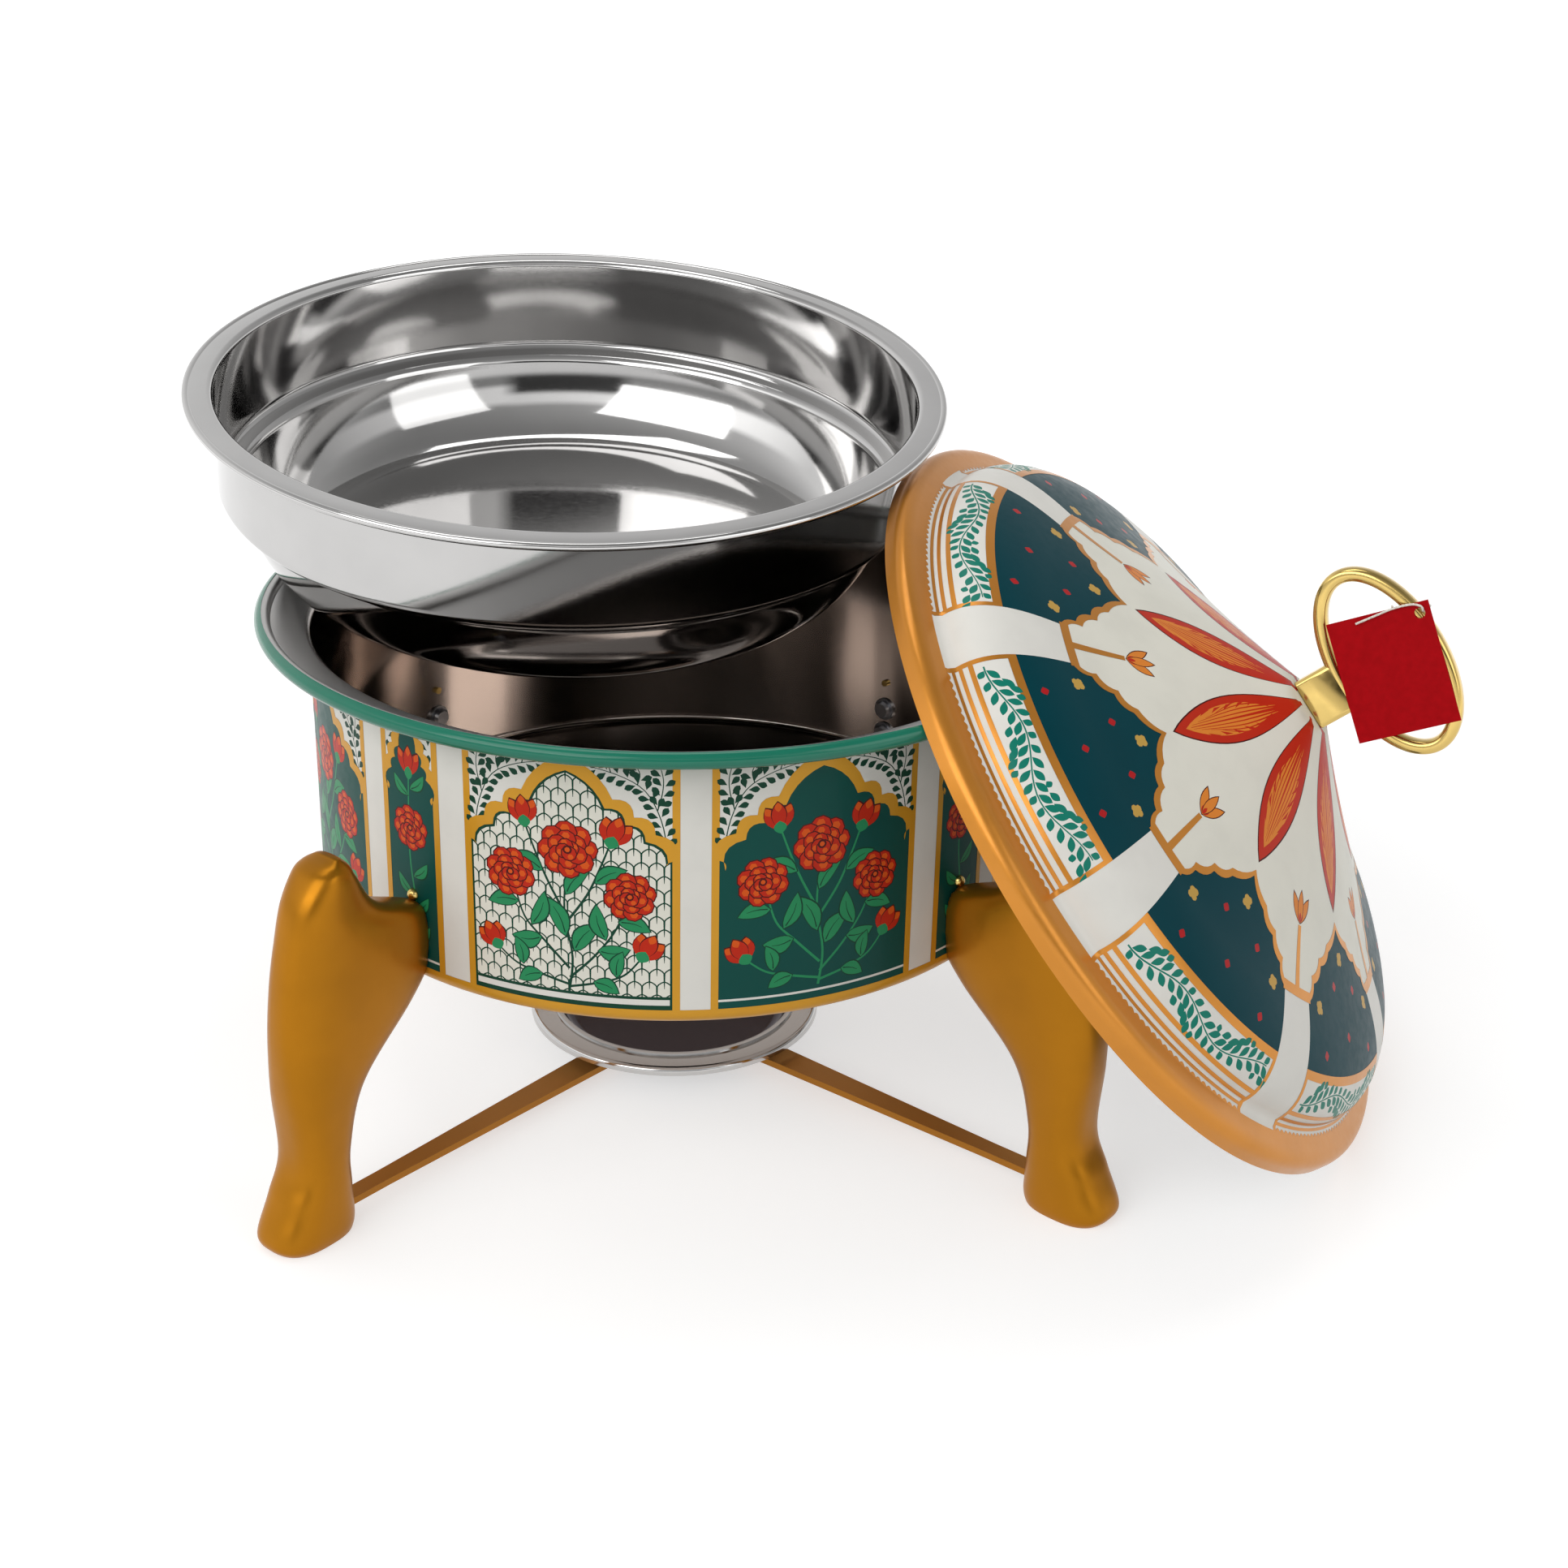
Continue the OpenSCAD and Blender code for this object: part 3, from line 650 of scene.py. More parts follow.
def shrub(dark, stalk):
    """Flowering shrub for a wide panel: three open blossoms over four buds."""
    out = []
    stems = (
        [(0, 103), (1.6, 118), (-1.4, 138), (0, 158)],
        [(0.4, 109), (10, 119), (18, 130), (23, 141)],
        [(0.4, 113), (-10, 124), (-18, 133), (-22, 146)],
        [(-0.6, 133), (8, 146), (14, 160), (17, 168)],
        [(-0.8, 136), (-8, 150), (-13, 162), (-17, 173)],
        [(0, 105), (12, 108), (22, 112), (29, 120)],
        [(0, 106), (-12, 109), (-22, 112), (-30, 118)],
    )
    leaves = (
        ((2.4, 121), (10.5, 131), 5.2, 0.1), ((-1, 127), (-8, 140), 5.0, -0.1),
        ((-0.6, 145), (7, 154), 4.4, 0.12), ((12, 122), (22, 123), 5.0, -0.12),
        ((-11, 125), (-21, 124), 5.2, 0.12), ((15, 127), (12, 139), 4.6, 0.1),
        ((-15, 130), (-10.5, 142), 4.4, -0.1), ((11, 151), (21, 156), 4.6, 0.1),
        ((-10, 154), (-21, 158), 4.6, -0.1), ((10, 108), (18, 104.6), 4.4, 0.1),
        ((-11, 109), (-19, 105.4), 4.4, -0.1), ((19, 111), (21, 120), 4.0, 0.1),
        ((-19, 112), (-21.5, 121), 4.0, -0.1), ((20, 135), (30, 132), 4.6, 0.1),
        ((-20.5, 139), (-31, 137), 4.6, -0.1),
    )
    longer, broader = 1.22, 1.35
    for stem in stems:
        out.append((stalk, stroke(spline(stem, 5), 1.1, 0.7)))
    for root, end, width, bend in leaves:
        tip = (root[0] + longer * (end[0] - root[0]), root[1] + longer * (end[1] - root[1]))
        out += foliage(root, tip, broader * width, bend, dark)
    out += bud((17, 167), (21, 179), 10.5) + bud((-17, 172), (-18.4, 184), 9.5)
    out += bud((28.4, 119), (34, 129.5), 10.5) + bud((-29.4, 117), (-35, 127), 10.5)
    for at, r, turn in BLOOMS:
        out += blossom(at, r, turn)
    return out


def slip(dark, stalk):
    """Upright slip for a narrow panel: one blossom, a bud and paired leaves."""
    out = [(stalk, stroke(spline([(0, 101), (1.4, 122), (-1.2, 146), (0, 180)], 6), 1.0, 0.6))]
    for y, side in ((108, 1), (113, -1), (121, 1), (128, -1), (136, 1), (171, -1), (174, 1)):
        out += foliage((side * 0.6, y), (side * 8.4, y + 7.5), 4.2, side * -0.12, dark)
    return out + bud((0, 179), (0.4, 192), 8) + blossom((-0.4, 157), 9.0, 8)


def wide_panel(ground, dark, stalk):
    """Motifs of one wide panel about its own middle, in the order that they are painted."""
    half = PANEL_HALF
    out = [("white", box(-half, half, SPANDREL_FOOT, FIELD_TOP))]
    for turn in (1, -1):
        out += sprig((turn * (half - 1.2), FIELD_TOP + 0.6), turn)
    out.append(("gold", arch(ARCH_EDGE, SPANDREL_FOOT, ARCH_EDGE[0][0])))
    inner = arch(ARCH_CUSPS, PANEL_FOOT, half)
    if ground == "cream":
        cusps = [(x - 0.8 if x else 0, y - 0.9) for x, y in ARCH_CUSPS]
        field = arch(cusps, SCALES_FOOT, half - 0.9)
        out += [("bottle", inner), ("cream", field), ("clip", field)]
        out += scales(half, SCALES_FOOT, ARCH_CUSPS[-1][1]) + [("end", None)]
        out.append(("white", box(1 - half, half - 1, *FOOT_BAND)))
    else:
        out += [("teal", inner), ("white", box(-half, half, *FOOT_LINE))]
    return out + shrub(dark, stalk)


def narrow_panel(half):
    """Motifs of a narrow panel behind a leg, about its own middle."""
    share, flat = half / PANEL_HALF, 0.8
    squeeze = [(x * share, 171 + (y - ARCH_SPRING) * flat) for x, y in ARCH_CUSPS]
    edge = [(x * share * (1.0 if i < 2 else 1.06), 174 + (y - ARCH_SPRING) * flat)
            for i, (x, y) in enumerate(ARCH_EDGE)]
    edge[-1] = (0.0, 209.0)
    out = [("white", box(-half, half, NARROW_SPANDREL_FOOT, FIELD_TOP))]
    for turn in (1, -1):
        for root, tip in NARROW_DROPS:
            drop = blade(root, tip, 2.3, 0, 0.66, 5)
            out.append(("bottle", [(turn * (half + x), FIELD_TOP + y) for x, y in drop]))
    out.append(("gold", arch(edge, NARROW_SPANDREL_FOOT, half + 1.5)))
    out.append(("teal", arch(squeeze, PANEL_FOOT, half)))
    out.append(("white", box(-half, half, *FOOT_LINE)))
    return out + slip("bottle", "green")


def drum_quarter():
    """Motifs of a quarter of the drum's wall, from the middle of one leg to the middle of the next."""
    degree = math.radians(1) * DRUM_R
    narrow, line, stripe, middle, wide = (share * degree for share in (4.8, 1.1, 4.6, 4.4, 30.1))
    end = 90 * degree
    out = [("gold", box(-2, end + 2, FIELD_FOOT, FIELD_TOP))]
    at = narrow + line
    for width in (stripe, middle, stripe):
        out.append(("white", box(at, at + width, PANEL_FOOT, FIELD_TOP)))
        at += width + 2 * line + wide
    centre = narrow + line + stripe + line + wide / 2
    for ground, dark, stalk in (("cream", "bottle", "bottle"), ("teal", "bottle", "green")):
        out += shifted(wide_panel(ground, dark, stalk), centre)
        centre += wide + 2 * line + middle
    for centre in (0.0, end):
        out += shifted(narrow_panel(narrow), centre)
    return out, end


# Cutting a painted field into its colours


def cut_field(motifs, lines, inside):
    """Cuts the field along all its outlines: returns its points, and the triangles of each colour."""
    verts, faces, owners, edges = [], [], [], []
    clip = None
    for colour, outline in motifs:
        if colour == "end":
            clip = None
            continue
        if colour == "clip":
            clip = len(faces)
        ring = ccw(list(outline))
        faces.append(list(range(len(verts), len(verts) + len(ring))))
        verts += ring
        owners.append((colour, clip))
    for a, b in lines:
        edges.append((len(verts), len(verts) + 1))
        verts += [a, b]
    flat = [Vector(v) for v in verts]
    points, _, cells, _, _, inside_of = delaunay_2d_cdt(flat, edges, faces, 1, 1e-4, True)
    colours = {}
    for cell, over in zip(cells, inside_of):
        middle = sum((points[i] for i in cell), Vector((0, 0))) / len(cell)
        if not inside(middle):
            continue
        here = set(over)
        seen = [i for i in over if owners[i][0] != "clip" and (owners[i][1] is None or owners[i][1] in here)]
        if seen:
            colours.setdefault(owners[max(seen)][0], []).append(tuple(cell))
    return [tuple(p) for p in points], colours


def coat_mesh(name, cells, surface, low, high):
    """Thin closed coat over flat cells, laid on a surface that gives a place and a normal for each point."""
    index, points = {}, []
    tris = []
    for cell in cells:
        tri = []
        for p in cell:
            key = (round(p[0], 3), round(p[1], 3))
            if key not in index:
                index[key] = len(points)
                points.append(p)
            tri.append(index[key])
        if len(set(tri)) == 3:
            tris.append(tuple(tri))
    n = len(points)
    tops, floors, normals = [], [], []
    for p in points:
        at, out = surface(p)
        tops.append(at + high * out)
        floors.append(at + low * out)
        normals.append(out)
    sides = dict.fromkeys(pair for tri in tris for pair in zip(tri, tri[1:] + tri[:1]))
    walls = [(b, a, a + n, b + n) for a, b in sides if (b, a) not in sides]
    faces = tris + [tuple(i + n for i in tri[::-1]) for tri in tris] + walls
    mesh = bpy.data.meshes.new(name)
    mesh.from_pydata(tops + floors, [], faces)
    mesh.shade_smooth()
    loops = [normals[i] for tri in tris for i in tri]
    loops += [-normals[i] for tri in tris for i in tri[::-1]]
    for a, b, _, _ in walls:
        side = (tops[b] - tops[a]).cross(normals[a])
        side = side.normalized() if side.length > 1e-12 else normals[a]
        loops += [side] * 4
    mesh.normals_split_custom_set([tuple(v) for v in loops])
    return mesh


def add_coats(prefix, body, colours, copies, surface, paint, gold):
    """Adds one coat for each colour of a field, whose cells are copied all round the piece."""
    for name, cells in sorted(colours.items()):
        drop = GOLD_DROP if name == "gold" else PAINT_DROP
        mesh = coat_mesh(prefix + name, copies(cells), surface, GAP * MM - paint.coat, -drop * MM)
        shine = 0.06 if name == "dome_teal" else 0.12
        look = gold if name == "gold" else enamel(prefix + name, getattr(paint, name), shine=shine)
        add_piece(prefix + name, mesh, body, look)


def lid_line(n=28):
    """The lid's outer line, from its edge in to the axis."""
    wall, shoulder = LID_R - 15, (120, 42.5)
    line = [(LID_R, 0.0)]
    line += bezier((LID_R, 4), (LID_R, 8.5), (LID_R - 3, 9.6), (LID_R - 7, 10.2), n)
    line += [(LID_R - 13, 11.4)]
    line += bezier((wall, 13), (wall, 26), (wall - 11, 35), shoulder, 2 * n)
    line += bezier(shoulder, (95, 50.5), (51.5, CROWN_Z - 18.5), (NECK_R, CROWN_Z), 2 * n)[1:]
    return line + [(0.0, CROWN_Z)]


class Dome:
    """The lid's outer face unrolled: reach along the face from the axis, and direction round it."""

    def __init__(self):
        self.line = lid_line()[::-1]
        self.reach = [0.0]
        for a, b in zip(self.line, self.line[1:]):
            self.reach.append(self.reach[-1] + math.hypot(b[0] - a[0], b[1] - a[1]))

    def at(self, s):
        """Radius, height and normal of the face at a reach."""
        i = 0
        while i < len(self.reach) - 2 and self.reach[i + 1] < s:
            i += 1
        a, b = self.line[i], self.line[i + 1]
        t = (s - self.reach[i]) / (self.reach[i + 1] - self.reach[i])
        r, h = a[0] + t * (b[0] - a[0]), a[1] + t * (b[1] - a[1])
        p, q = self.line[max(i - 1, 0)], self.line[min(i + 2, len(self.line) - 1)]
        x, y = q[0] - p[0], q[1] - p[1]
        size = math.hypot(x, y)
        return r, h, -y / size, x / size

    def surface(self, p):
        s, turn = math.hypot(*p), math.atan2(p[1], p[0])
        r, h, nr, nh = self.at(s)
        c, d = math.cos(turn), math.sin(turn)
        at = LID @ Vector((r * c, r * d, h))
        out = (LID.to_3x3() @ Vector((nr * c, nr * d, nh))).normalized()
        return at, out


def polar(s, degrees):
    return (s * math.cos(math.radians(degrees)), s * math.sin(math.radians(degrees)))


def ring_band(inner, outer, start, end, n):
    """Outline between two reaches and two directions."""
    return ([polar(inner, start + (end - start) * i / n) for i in range(n + 1)]
            + [polar(outer, end + (start - end) * i / n) for i in range(n + 1)])


# The lid's field: directions in degrees, and reaches from the axis along the face
DOME_SECTORS = 8
DOME_TURN = -117.0
SECTOR_HALF = 180 / DOME_SECTORS
BAND_HALF = 4.7
PANEL_TURN = SECTOR_HALF - BAND_HALF
STRIPE_TURN = PANEL_TURN - 0.75
STEM_REACH = 128.0
PANEL_REACH = 154.6
SCROLL_BAND = (158.4, 172.6)
STRIPES = ((174.6, 176.9), (178.6, 180.2))
TEETH_FOOT, TEETH_TIP, TOOTH_DEPTH, TEETH = 181.5, 183.7, 1.3, 26
TOOTH_REACH = 184.0
FIELD_STEP = 2.5


def dome_petal():
    """One long petal from the crown towards a panel's point, with its edge, lights and veins."""
    out = [("wine", blade((8.4, 0), (87.8, 0), 22.6, 0, 0.56, 18)),
           ("scarlet", blade((9, 0), (86.6, 0), 21.4, 0, 0.56, 18)),
           ("orange", blade((22, 0), (80, 0), 14.6, 0, 0.54, 16)),
           ("scarlet", stroke([(9, 0), (40, 0), (77, 0)], 2.0, 0.25))]
    for side in (-1, 1):
        for offset, start, end in ((1.9, 17, 76), (3.8, 19, 72), (5.6, 23, 67), (7.2, 30, 62)):
            ends = (start, side * 0.3 * offset), (end, side * 0.5 * offset)
            line = spline([ends[0], ((start + end) / 2, side * offset), ends[1]], 4)
            out.append(("scarlet", stroke(line, 1.0, 0.15)))
        for k in range(7):
            x, edge = 30 + 7 * k, side * (6.9 - 0.35 * abs(k - 3))
            out.append(("scarlet", [(x - 2.4, edge), (x + 1.6, edge), (x + 4.4, 0.66 * edge)]))
    return out


def tooth_band():
    """White stripe along the brim with a scalloped outer edge."""
    step = 2 * STRIPE_TURN / TEETH
    rim = []
    for k in range(TEETH):
        for i in range(4):
            reach = TEETH_TIP - TOOTH_DEPTH * math.sin(math.pi * i / 4)
            rim.append(polar(reach, -STRIPE_TURN + k * step + step * i / 4))
    rim.append(polar(TEETH_TIP, STRIPE_TURN))
    return [polar(TEETH_FOOT, STRIPE_TURN - 2 * STRIPE_TURN * i / 22) for i in range(23)] + rim


def leaf_scroll():
    """Waving stem along the lid's border, with small leaves on both sides that fill the band's width."""
    stalk, shortest, longest, split = 0.7, 2.6, 6.6, 0.5
    along, across = 0.74, 0.67
    low, high = SCROLL_BAND[0] + 0.5, SCROLL_BAND[1] - 0.5
    turns = [(1.6 - PANEL_TURN) + (2 * PANEL_TURN - 3.2) * i / 30 for i in range(31)]
    line = [polar(165.5 + 3.4 * math.sin(math.radians(17 * a)), a) for a in turns]
    out = [stroke(line, 0.7, 0.5)]
    for x, y, dx, dy in walk(line, 5.4, 1.5):
        s = math.hypot(x, y)
        for side in (-1, 1):
            lx, ly = along * dx - side * across * dy, along * dy + side * across * dx
            inwards = lx * x + ly * y < 0
            room = (s - low if inwards else high - s) / across
            near = stalk
            while near == stalk or room - near > shortest:
                far = near + max(shortest, min(longest, room - near))
                out.append(blade((x + near * lx, y + near * ly), (x + far * lx, y + far * ly), 3.1, 0, 0.55))
                near = far + split
    return [("scroll", outline) for outline in out]


def dome_panel():
    """Teal panel of the lid with its cusped point, border stripes and leaf scroll, about its own middle."""
    half = PANEL_TURN
    out = [("gold", ring_band(PANEL_REACH, TOOTH_REACH, -half, half, 24))]
    for inner, outer in (SCROLL_BAND, *STRIPES):
        out.append(("white", ring_band(inner, outer, -STRIPE_TURN, STRIPE_TURN, 22)))
    out.append(("white", tooth_band()))
    out += leaf_scroll()
    cusps = [(127.5, half), (119, half * 0.86), (110.5, half * 0.64), (104, half * 0.36), (94.5, 0.0)]
    for colour, grow, edge in (("gold", 3.0, 0.9), ("dome_teal", 0.0, 0.0)):
        points = [polar(s - grow, a + (edge if 0 < a < half else 0)) for s, a in cusps]
        side = scallops(points[:-1], 0.16) + scallops(points[-2:], 0.1)[1:]
        base = [polar(PANEL_REACH, -half + 2 * half * i / 20) for i in range(21)]
        down = [(x, -y) for x, y in side[:-1]]
        out.append((colour, base + side + down[::-1]))
    for s, a in ((147, -11), (147, 11), (139, 0), (118, -4.6), (121, 7)):
        x, y = polar(s, a)
        out.append(("flag", blade((x - 2.1, y), (x + 2.1, y), 3.4)))
        out.append(("flag", blade((x, y - 2.0), (x, y + 2.0), 2.6)))
    for s, a in ((128, -13), (129, 13.5), (107, 0.6)):
        x, y = polar(s, a)
        for dx, dy in ((1.3, 0.9), (-1.2, 1.1), (1.0, -1.3), (-1.2, -0.9)):
            out.append(("ochre", disc((x + dx, y + dy), 1.7, 7)))
    return out


def dome_stem():
    """Stem with a three-petalled bud on the white band between two panels."""
    out = [("gold", ring_band(STEM_REACH - 4.4, STEM_REACH, -BAND_HALF - 0.6, BAND_HALF + 0.6, 8)),
           ("gold", stroke([(124, 0), (110, 0), (98, 0)], 3.4, 2.4))]
    for tip in ((85.5, -6.4), (85.5, 6.4), (83.5, 0)):
        out.append(("wine", blade((97.6, 0), (tip[0] - 0.8, tip[1] * 1.06), 5.0)))
        out.append(("orange", blade((97.2, 0), tip, 4.2)))
        out.append(("scarlet", blade((96.8, 0), ((tip[0] + 2 * 97) / 3, tip[1] / 3), 1.8)))
    return out


def dome_sector():
    """Motifs of one sector of the lid, from the middle of one white band to the next."""
    edge = SECTOR_HALF + 2
    out = [("cream", [(0.5, 0)] + [polar(TOOTH_REACH, -edge + 2 * edge * i / 24) for i in range(25)])]
    out += dome_panel()
    for turn in (-SECTOR_HALF, SECTOR_HALF):
        out.append(("white", ring_band(STEM_REACH, TOOTH_REACH, turn - BAND_HALF, turn + BAND_HALF, 8)))
        out += [(colour, spun(outline, turn)) for colour, outline in dome_stem()]
    return out + dome_petal()


# Operators


class DISH_OT_stage(bpy.types.Operator):
    """Sets the pale floor, the soft light and the camera"""

    bl_idname = "dish.stage"
    bl_label = "Stage"

    def execute(self, context):
        props = context.scene.dish_stage
        scene = context.scene
        scene.view_settings.view_transform = "Standard"
        lens = bpy.data.cameras.new("camera")
        lens.sensor_width = 36
        lens.lens = props.focal * lens.sensor_width
        camera = bpy.data.objects.new("camera", lens)
        scene.collection.objects.link(camera)
        level = math.cos(props.pitch)
        look = Vector((math.sin(props.yaw) * level, math.cos(props.yaw) * level, -math.sin(props.pitch)))
        right = Vector((math.cos(props.yaw), -math.sin(props.yaw), 0))
        up = right.cross(look)
        turn = Matrix((right, up, -look)).transposed() @ Matrix.Rotation(props.roll, 3, "Z")
        camera.matrix_world = Matrix.Translation(props.camera) @ turn.to_4x4()
        scene.camera = camera

        floor_mesh = bpy.data.meshes.new("floor")
        size = 14.0
        corners = [(-size, -size, 0), (size, -size, 0), (size, size, 0), (-size, size, 0)]
        floor_mesh.from_pydata(corners, [], [(0, 1, 2, 3)])
        floor = bpy.data.objects.new("floor", floor_mesh)
        scene.collection.objects.link(floor)
        floor_mesh.materials.append(self.floor_paint())
        self.lamp(scene, "key", (-1.7, -1.8, 1.9), (2.4, 1.7), props.key)
        self.lamp(scene, "fill", (2.0, -1.5, 1.3), (1.6, 1.6), props.fill)
        self.lamp(scene, "top", (-0.2, 0.5, 2.4), (1.8, 0.8), props.fill)
        self.sky(scene)
        return {"FINISHED"}

    def lamp(self, scene, name, at, size, power):
        aim = Vector((0.05, 0, 0.15))
        data = bpy.data.lights.new(name, "AREA")
        data.shape = "RECTANGLE"
        data.size, data.size_y = size
        data.energy = power
        lamp = bpy.data.objects.new(name, data)
        scene.collection.objects.link(lamp)
        lamp.location = at
        lamp.rotation_euler = (aim - Vector(at)).to_track_quat("-Z", "Y").to_euler()

    def seen(self, tree):
        """1 for the rays that show the background: camera, glossy and transmission rays."""
        rays = add_node(tree, "ShaderNodeLightPath")
        total = rays.outputs["Is Camera Ray"]
        for name in ("Is Glossy Ray", "Is Transmission Ray"):
            most = add_node(tree, "ShaderNodeMath", operation="MAXIMUM")
            tree.links.new(total, most.inputs[0])
            tree.links.new(rays.outputs[name], most.inputs[1])
            total = most.outputs[0]
        return total

    def floor_paint(self):
        """Pale floor that is brighter away from the dish, so that its edge melts into the room."""
        material = bpy.data.materials.new("pale_floor")
        material.use_nodes = True
        tree = material.node_tree
        tree.nodes.clear()
        out = add_node(tree, "ShaderNodeOutputMaterial")
        diffuse = add_node(tree, "ShaderNodeBsdfDiffuse")
        diffuse.inputs["Color"].default_value = (0.6, 0.6, 0.6, 1)
        glow = add_node(tree, "ShaderNodeEmission")
        add = add_node(tree, "ShaderNodeAddShader")
        place = add_node(tree, "ShaderNodeTexCoord")
        reach = add_node(tree, "ShaderNodeVectorMath", operation="LENGTH")
        tree.links.new(place.outputs["Object"], reach.inputs[0])
        rise = map_range(tree, reach.outputs["Value"], 0.4, 2.2, 0.56, 1.0)
        level = add_node(tree, "ShaderNodeMath", operation="MULTIPLY")
        tree.links.new(self.seen(tree), level.inputs[0])
        tree.links.new(rise.outputs["Result"], level.inputs[1])
        tree.links.new(level.outputs[0], glow.inputs["Strength"])
        tree.links.new(diffuse.outputs[0], add.inputs[0])
        tree.links.new(glow.outputs[0], add.inputs[1])
        tree.links.new(add.outputs[0], out.inputs["Surface"])
        return material

    def sky(self, scene):
        """Studio room: pale at the floor, dim overhead and on the right, with a screen behind the camera."""
        world = bpy.data.worlds.new("studio")
        scene.world = world
        world.use_nodes = True
        tree = world.node_tree
        background = tree.nodes["Background"]
        place = add_node(tree, "ShaderNodeTexCoord")
        way = add_node(tree, "ShaderNodeSeparateXYZ")
        tree.links.new(place.outputs["Generated"], way.inputs[0])
        screen, flank, plain = (
            colour_ramp(tree, way.outputs["Z"], [(height, (level, level, level)) for height, level in stops])
            for stops in (
                ((0.0, 1.0), (0.14, 0.85), (0.2, 0.06), (0.36, 0.08),
                 (0.42, 1.4), (0.5, 1.4), (0.58, 0.6), (1.0, 0.36)),
                ((0.0, 1.0), (0.14, 0.85), (0.19, 0.34), (0.26, 0.4),
                 (0.31, 1.6), (0.48, 1.6), (0.56, 0.6), (1.0, 0.36)),
                ((0.0, 1.0), (0.55, 0.9), (0.8, 0.5), (1.0, 0.36)),
            ))
        wide = add_node(tree, "ShaderNodeMath", operation="ABSOLUTE")
        tree.links.new(way.outputs["X"], wide.inputs[0])
        shown = screen
        for value, start, end, other in (
            (wide.outputs[0], 0.3, 0.4, flank),
            (way.outputs["Y"], -0.35, 0.3, plain),
        ):
            share = map_range(tree, value, start, end)
            blend = add_node(tree, "ShaderNodeMixRGB")
            tree.links.new(share.outputs["Result"], blend.inputs["Fac"])
            tree.links.new(shown, blend.inputs["Color1"])
            tree.links.new(other, blend.inputs["Color2"])
            shown = blend.outputs["Color"]
        tree.links.new(shown, background.inputs["Color"])
        dim = map_range(tree, way.outputs["X"], -0.6, 0.7, 1.1, 0.5)
        rise = map_range(tree, way.outputs["Z"], 0.14, 0.3, 1.0)
        tree.links.new(dim.outputs["Result"], rise.inputs["To Max"])
        tree.links.new(rise.outputs["Result"], background.inputs["Strength"])


class DISH_OT_string(bpy.types.Operator):
    """Ties the tag's twisted string round the handle"""

    bl_idname = "dish.string"
    bl_label = "Tag string"

    def execute(self, context):
        path = [Vector(p) + Vector(TAG_HOLE) for p in spline(STRING_PATH, 6)]
        sides = 12
        rings = []
        side = Vector((1, 0, 0.2))
        run = 0.0
        for i, p in enumerate(path):
            ahead = (path[min(i + 1, len(path) - 1)] - path[max(i - 1, 0)]).normalized()
            u = (side - side.dot(ahead) * ahead).normalized()
            v = ahead.cross(u)
            run += (p - path[max(i - 1, 0)]).length
            ring = []
            for k in range(sides):
                a = 2 * math.pi * k / sides
                r = STRING_R * (0.74 + 0.26 * abs(math.cos(a - run * STRING_TWIST)))
                ring.append(p + r * (math.cos(a) * u + math.sin(a) * v))
            rings.append(ring)
            side = u
        mesh = smooth_mesh("tag_cord", *skinned(rings), HANDLE, ROLLED_CREASE)
        look = Finish("cotton_string", roughness=0.85)
        look.colour(look.noise(1500, 2), (0.3, srgb(205, 198, 186)), (0.7, srgb(243, 240, 232)))
        look.bump(look.noise(4000, 2), 0.00005, 0.4)
        cord = add_piece("tag_cord", mesh, "tag", look.material, ("tag_string",))
        return {"FINISHED"}


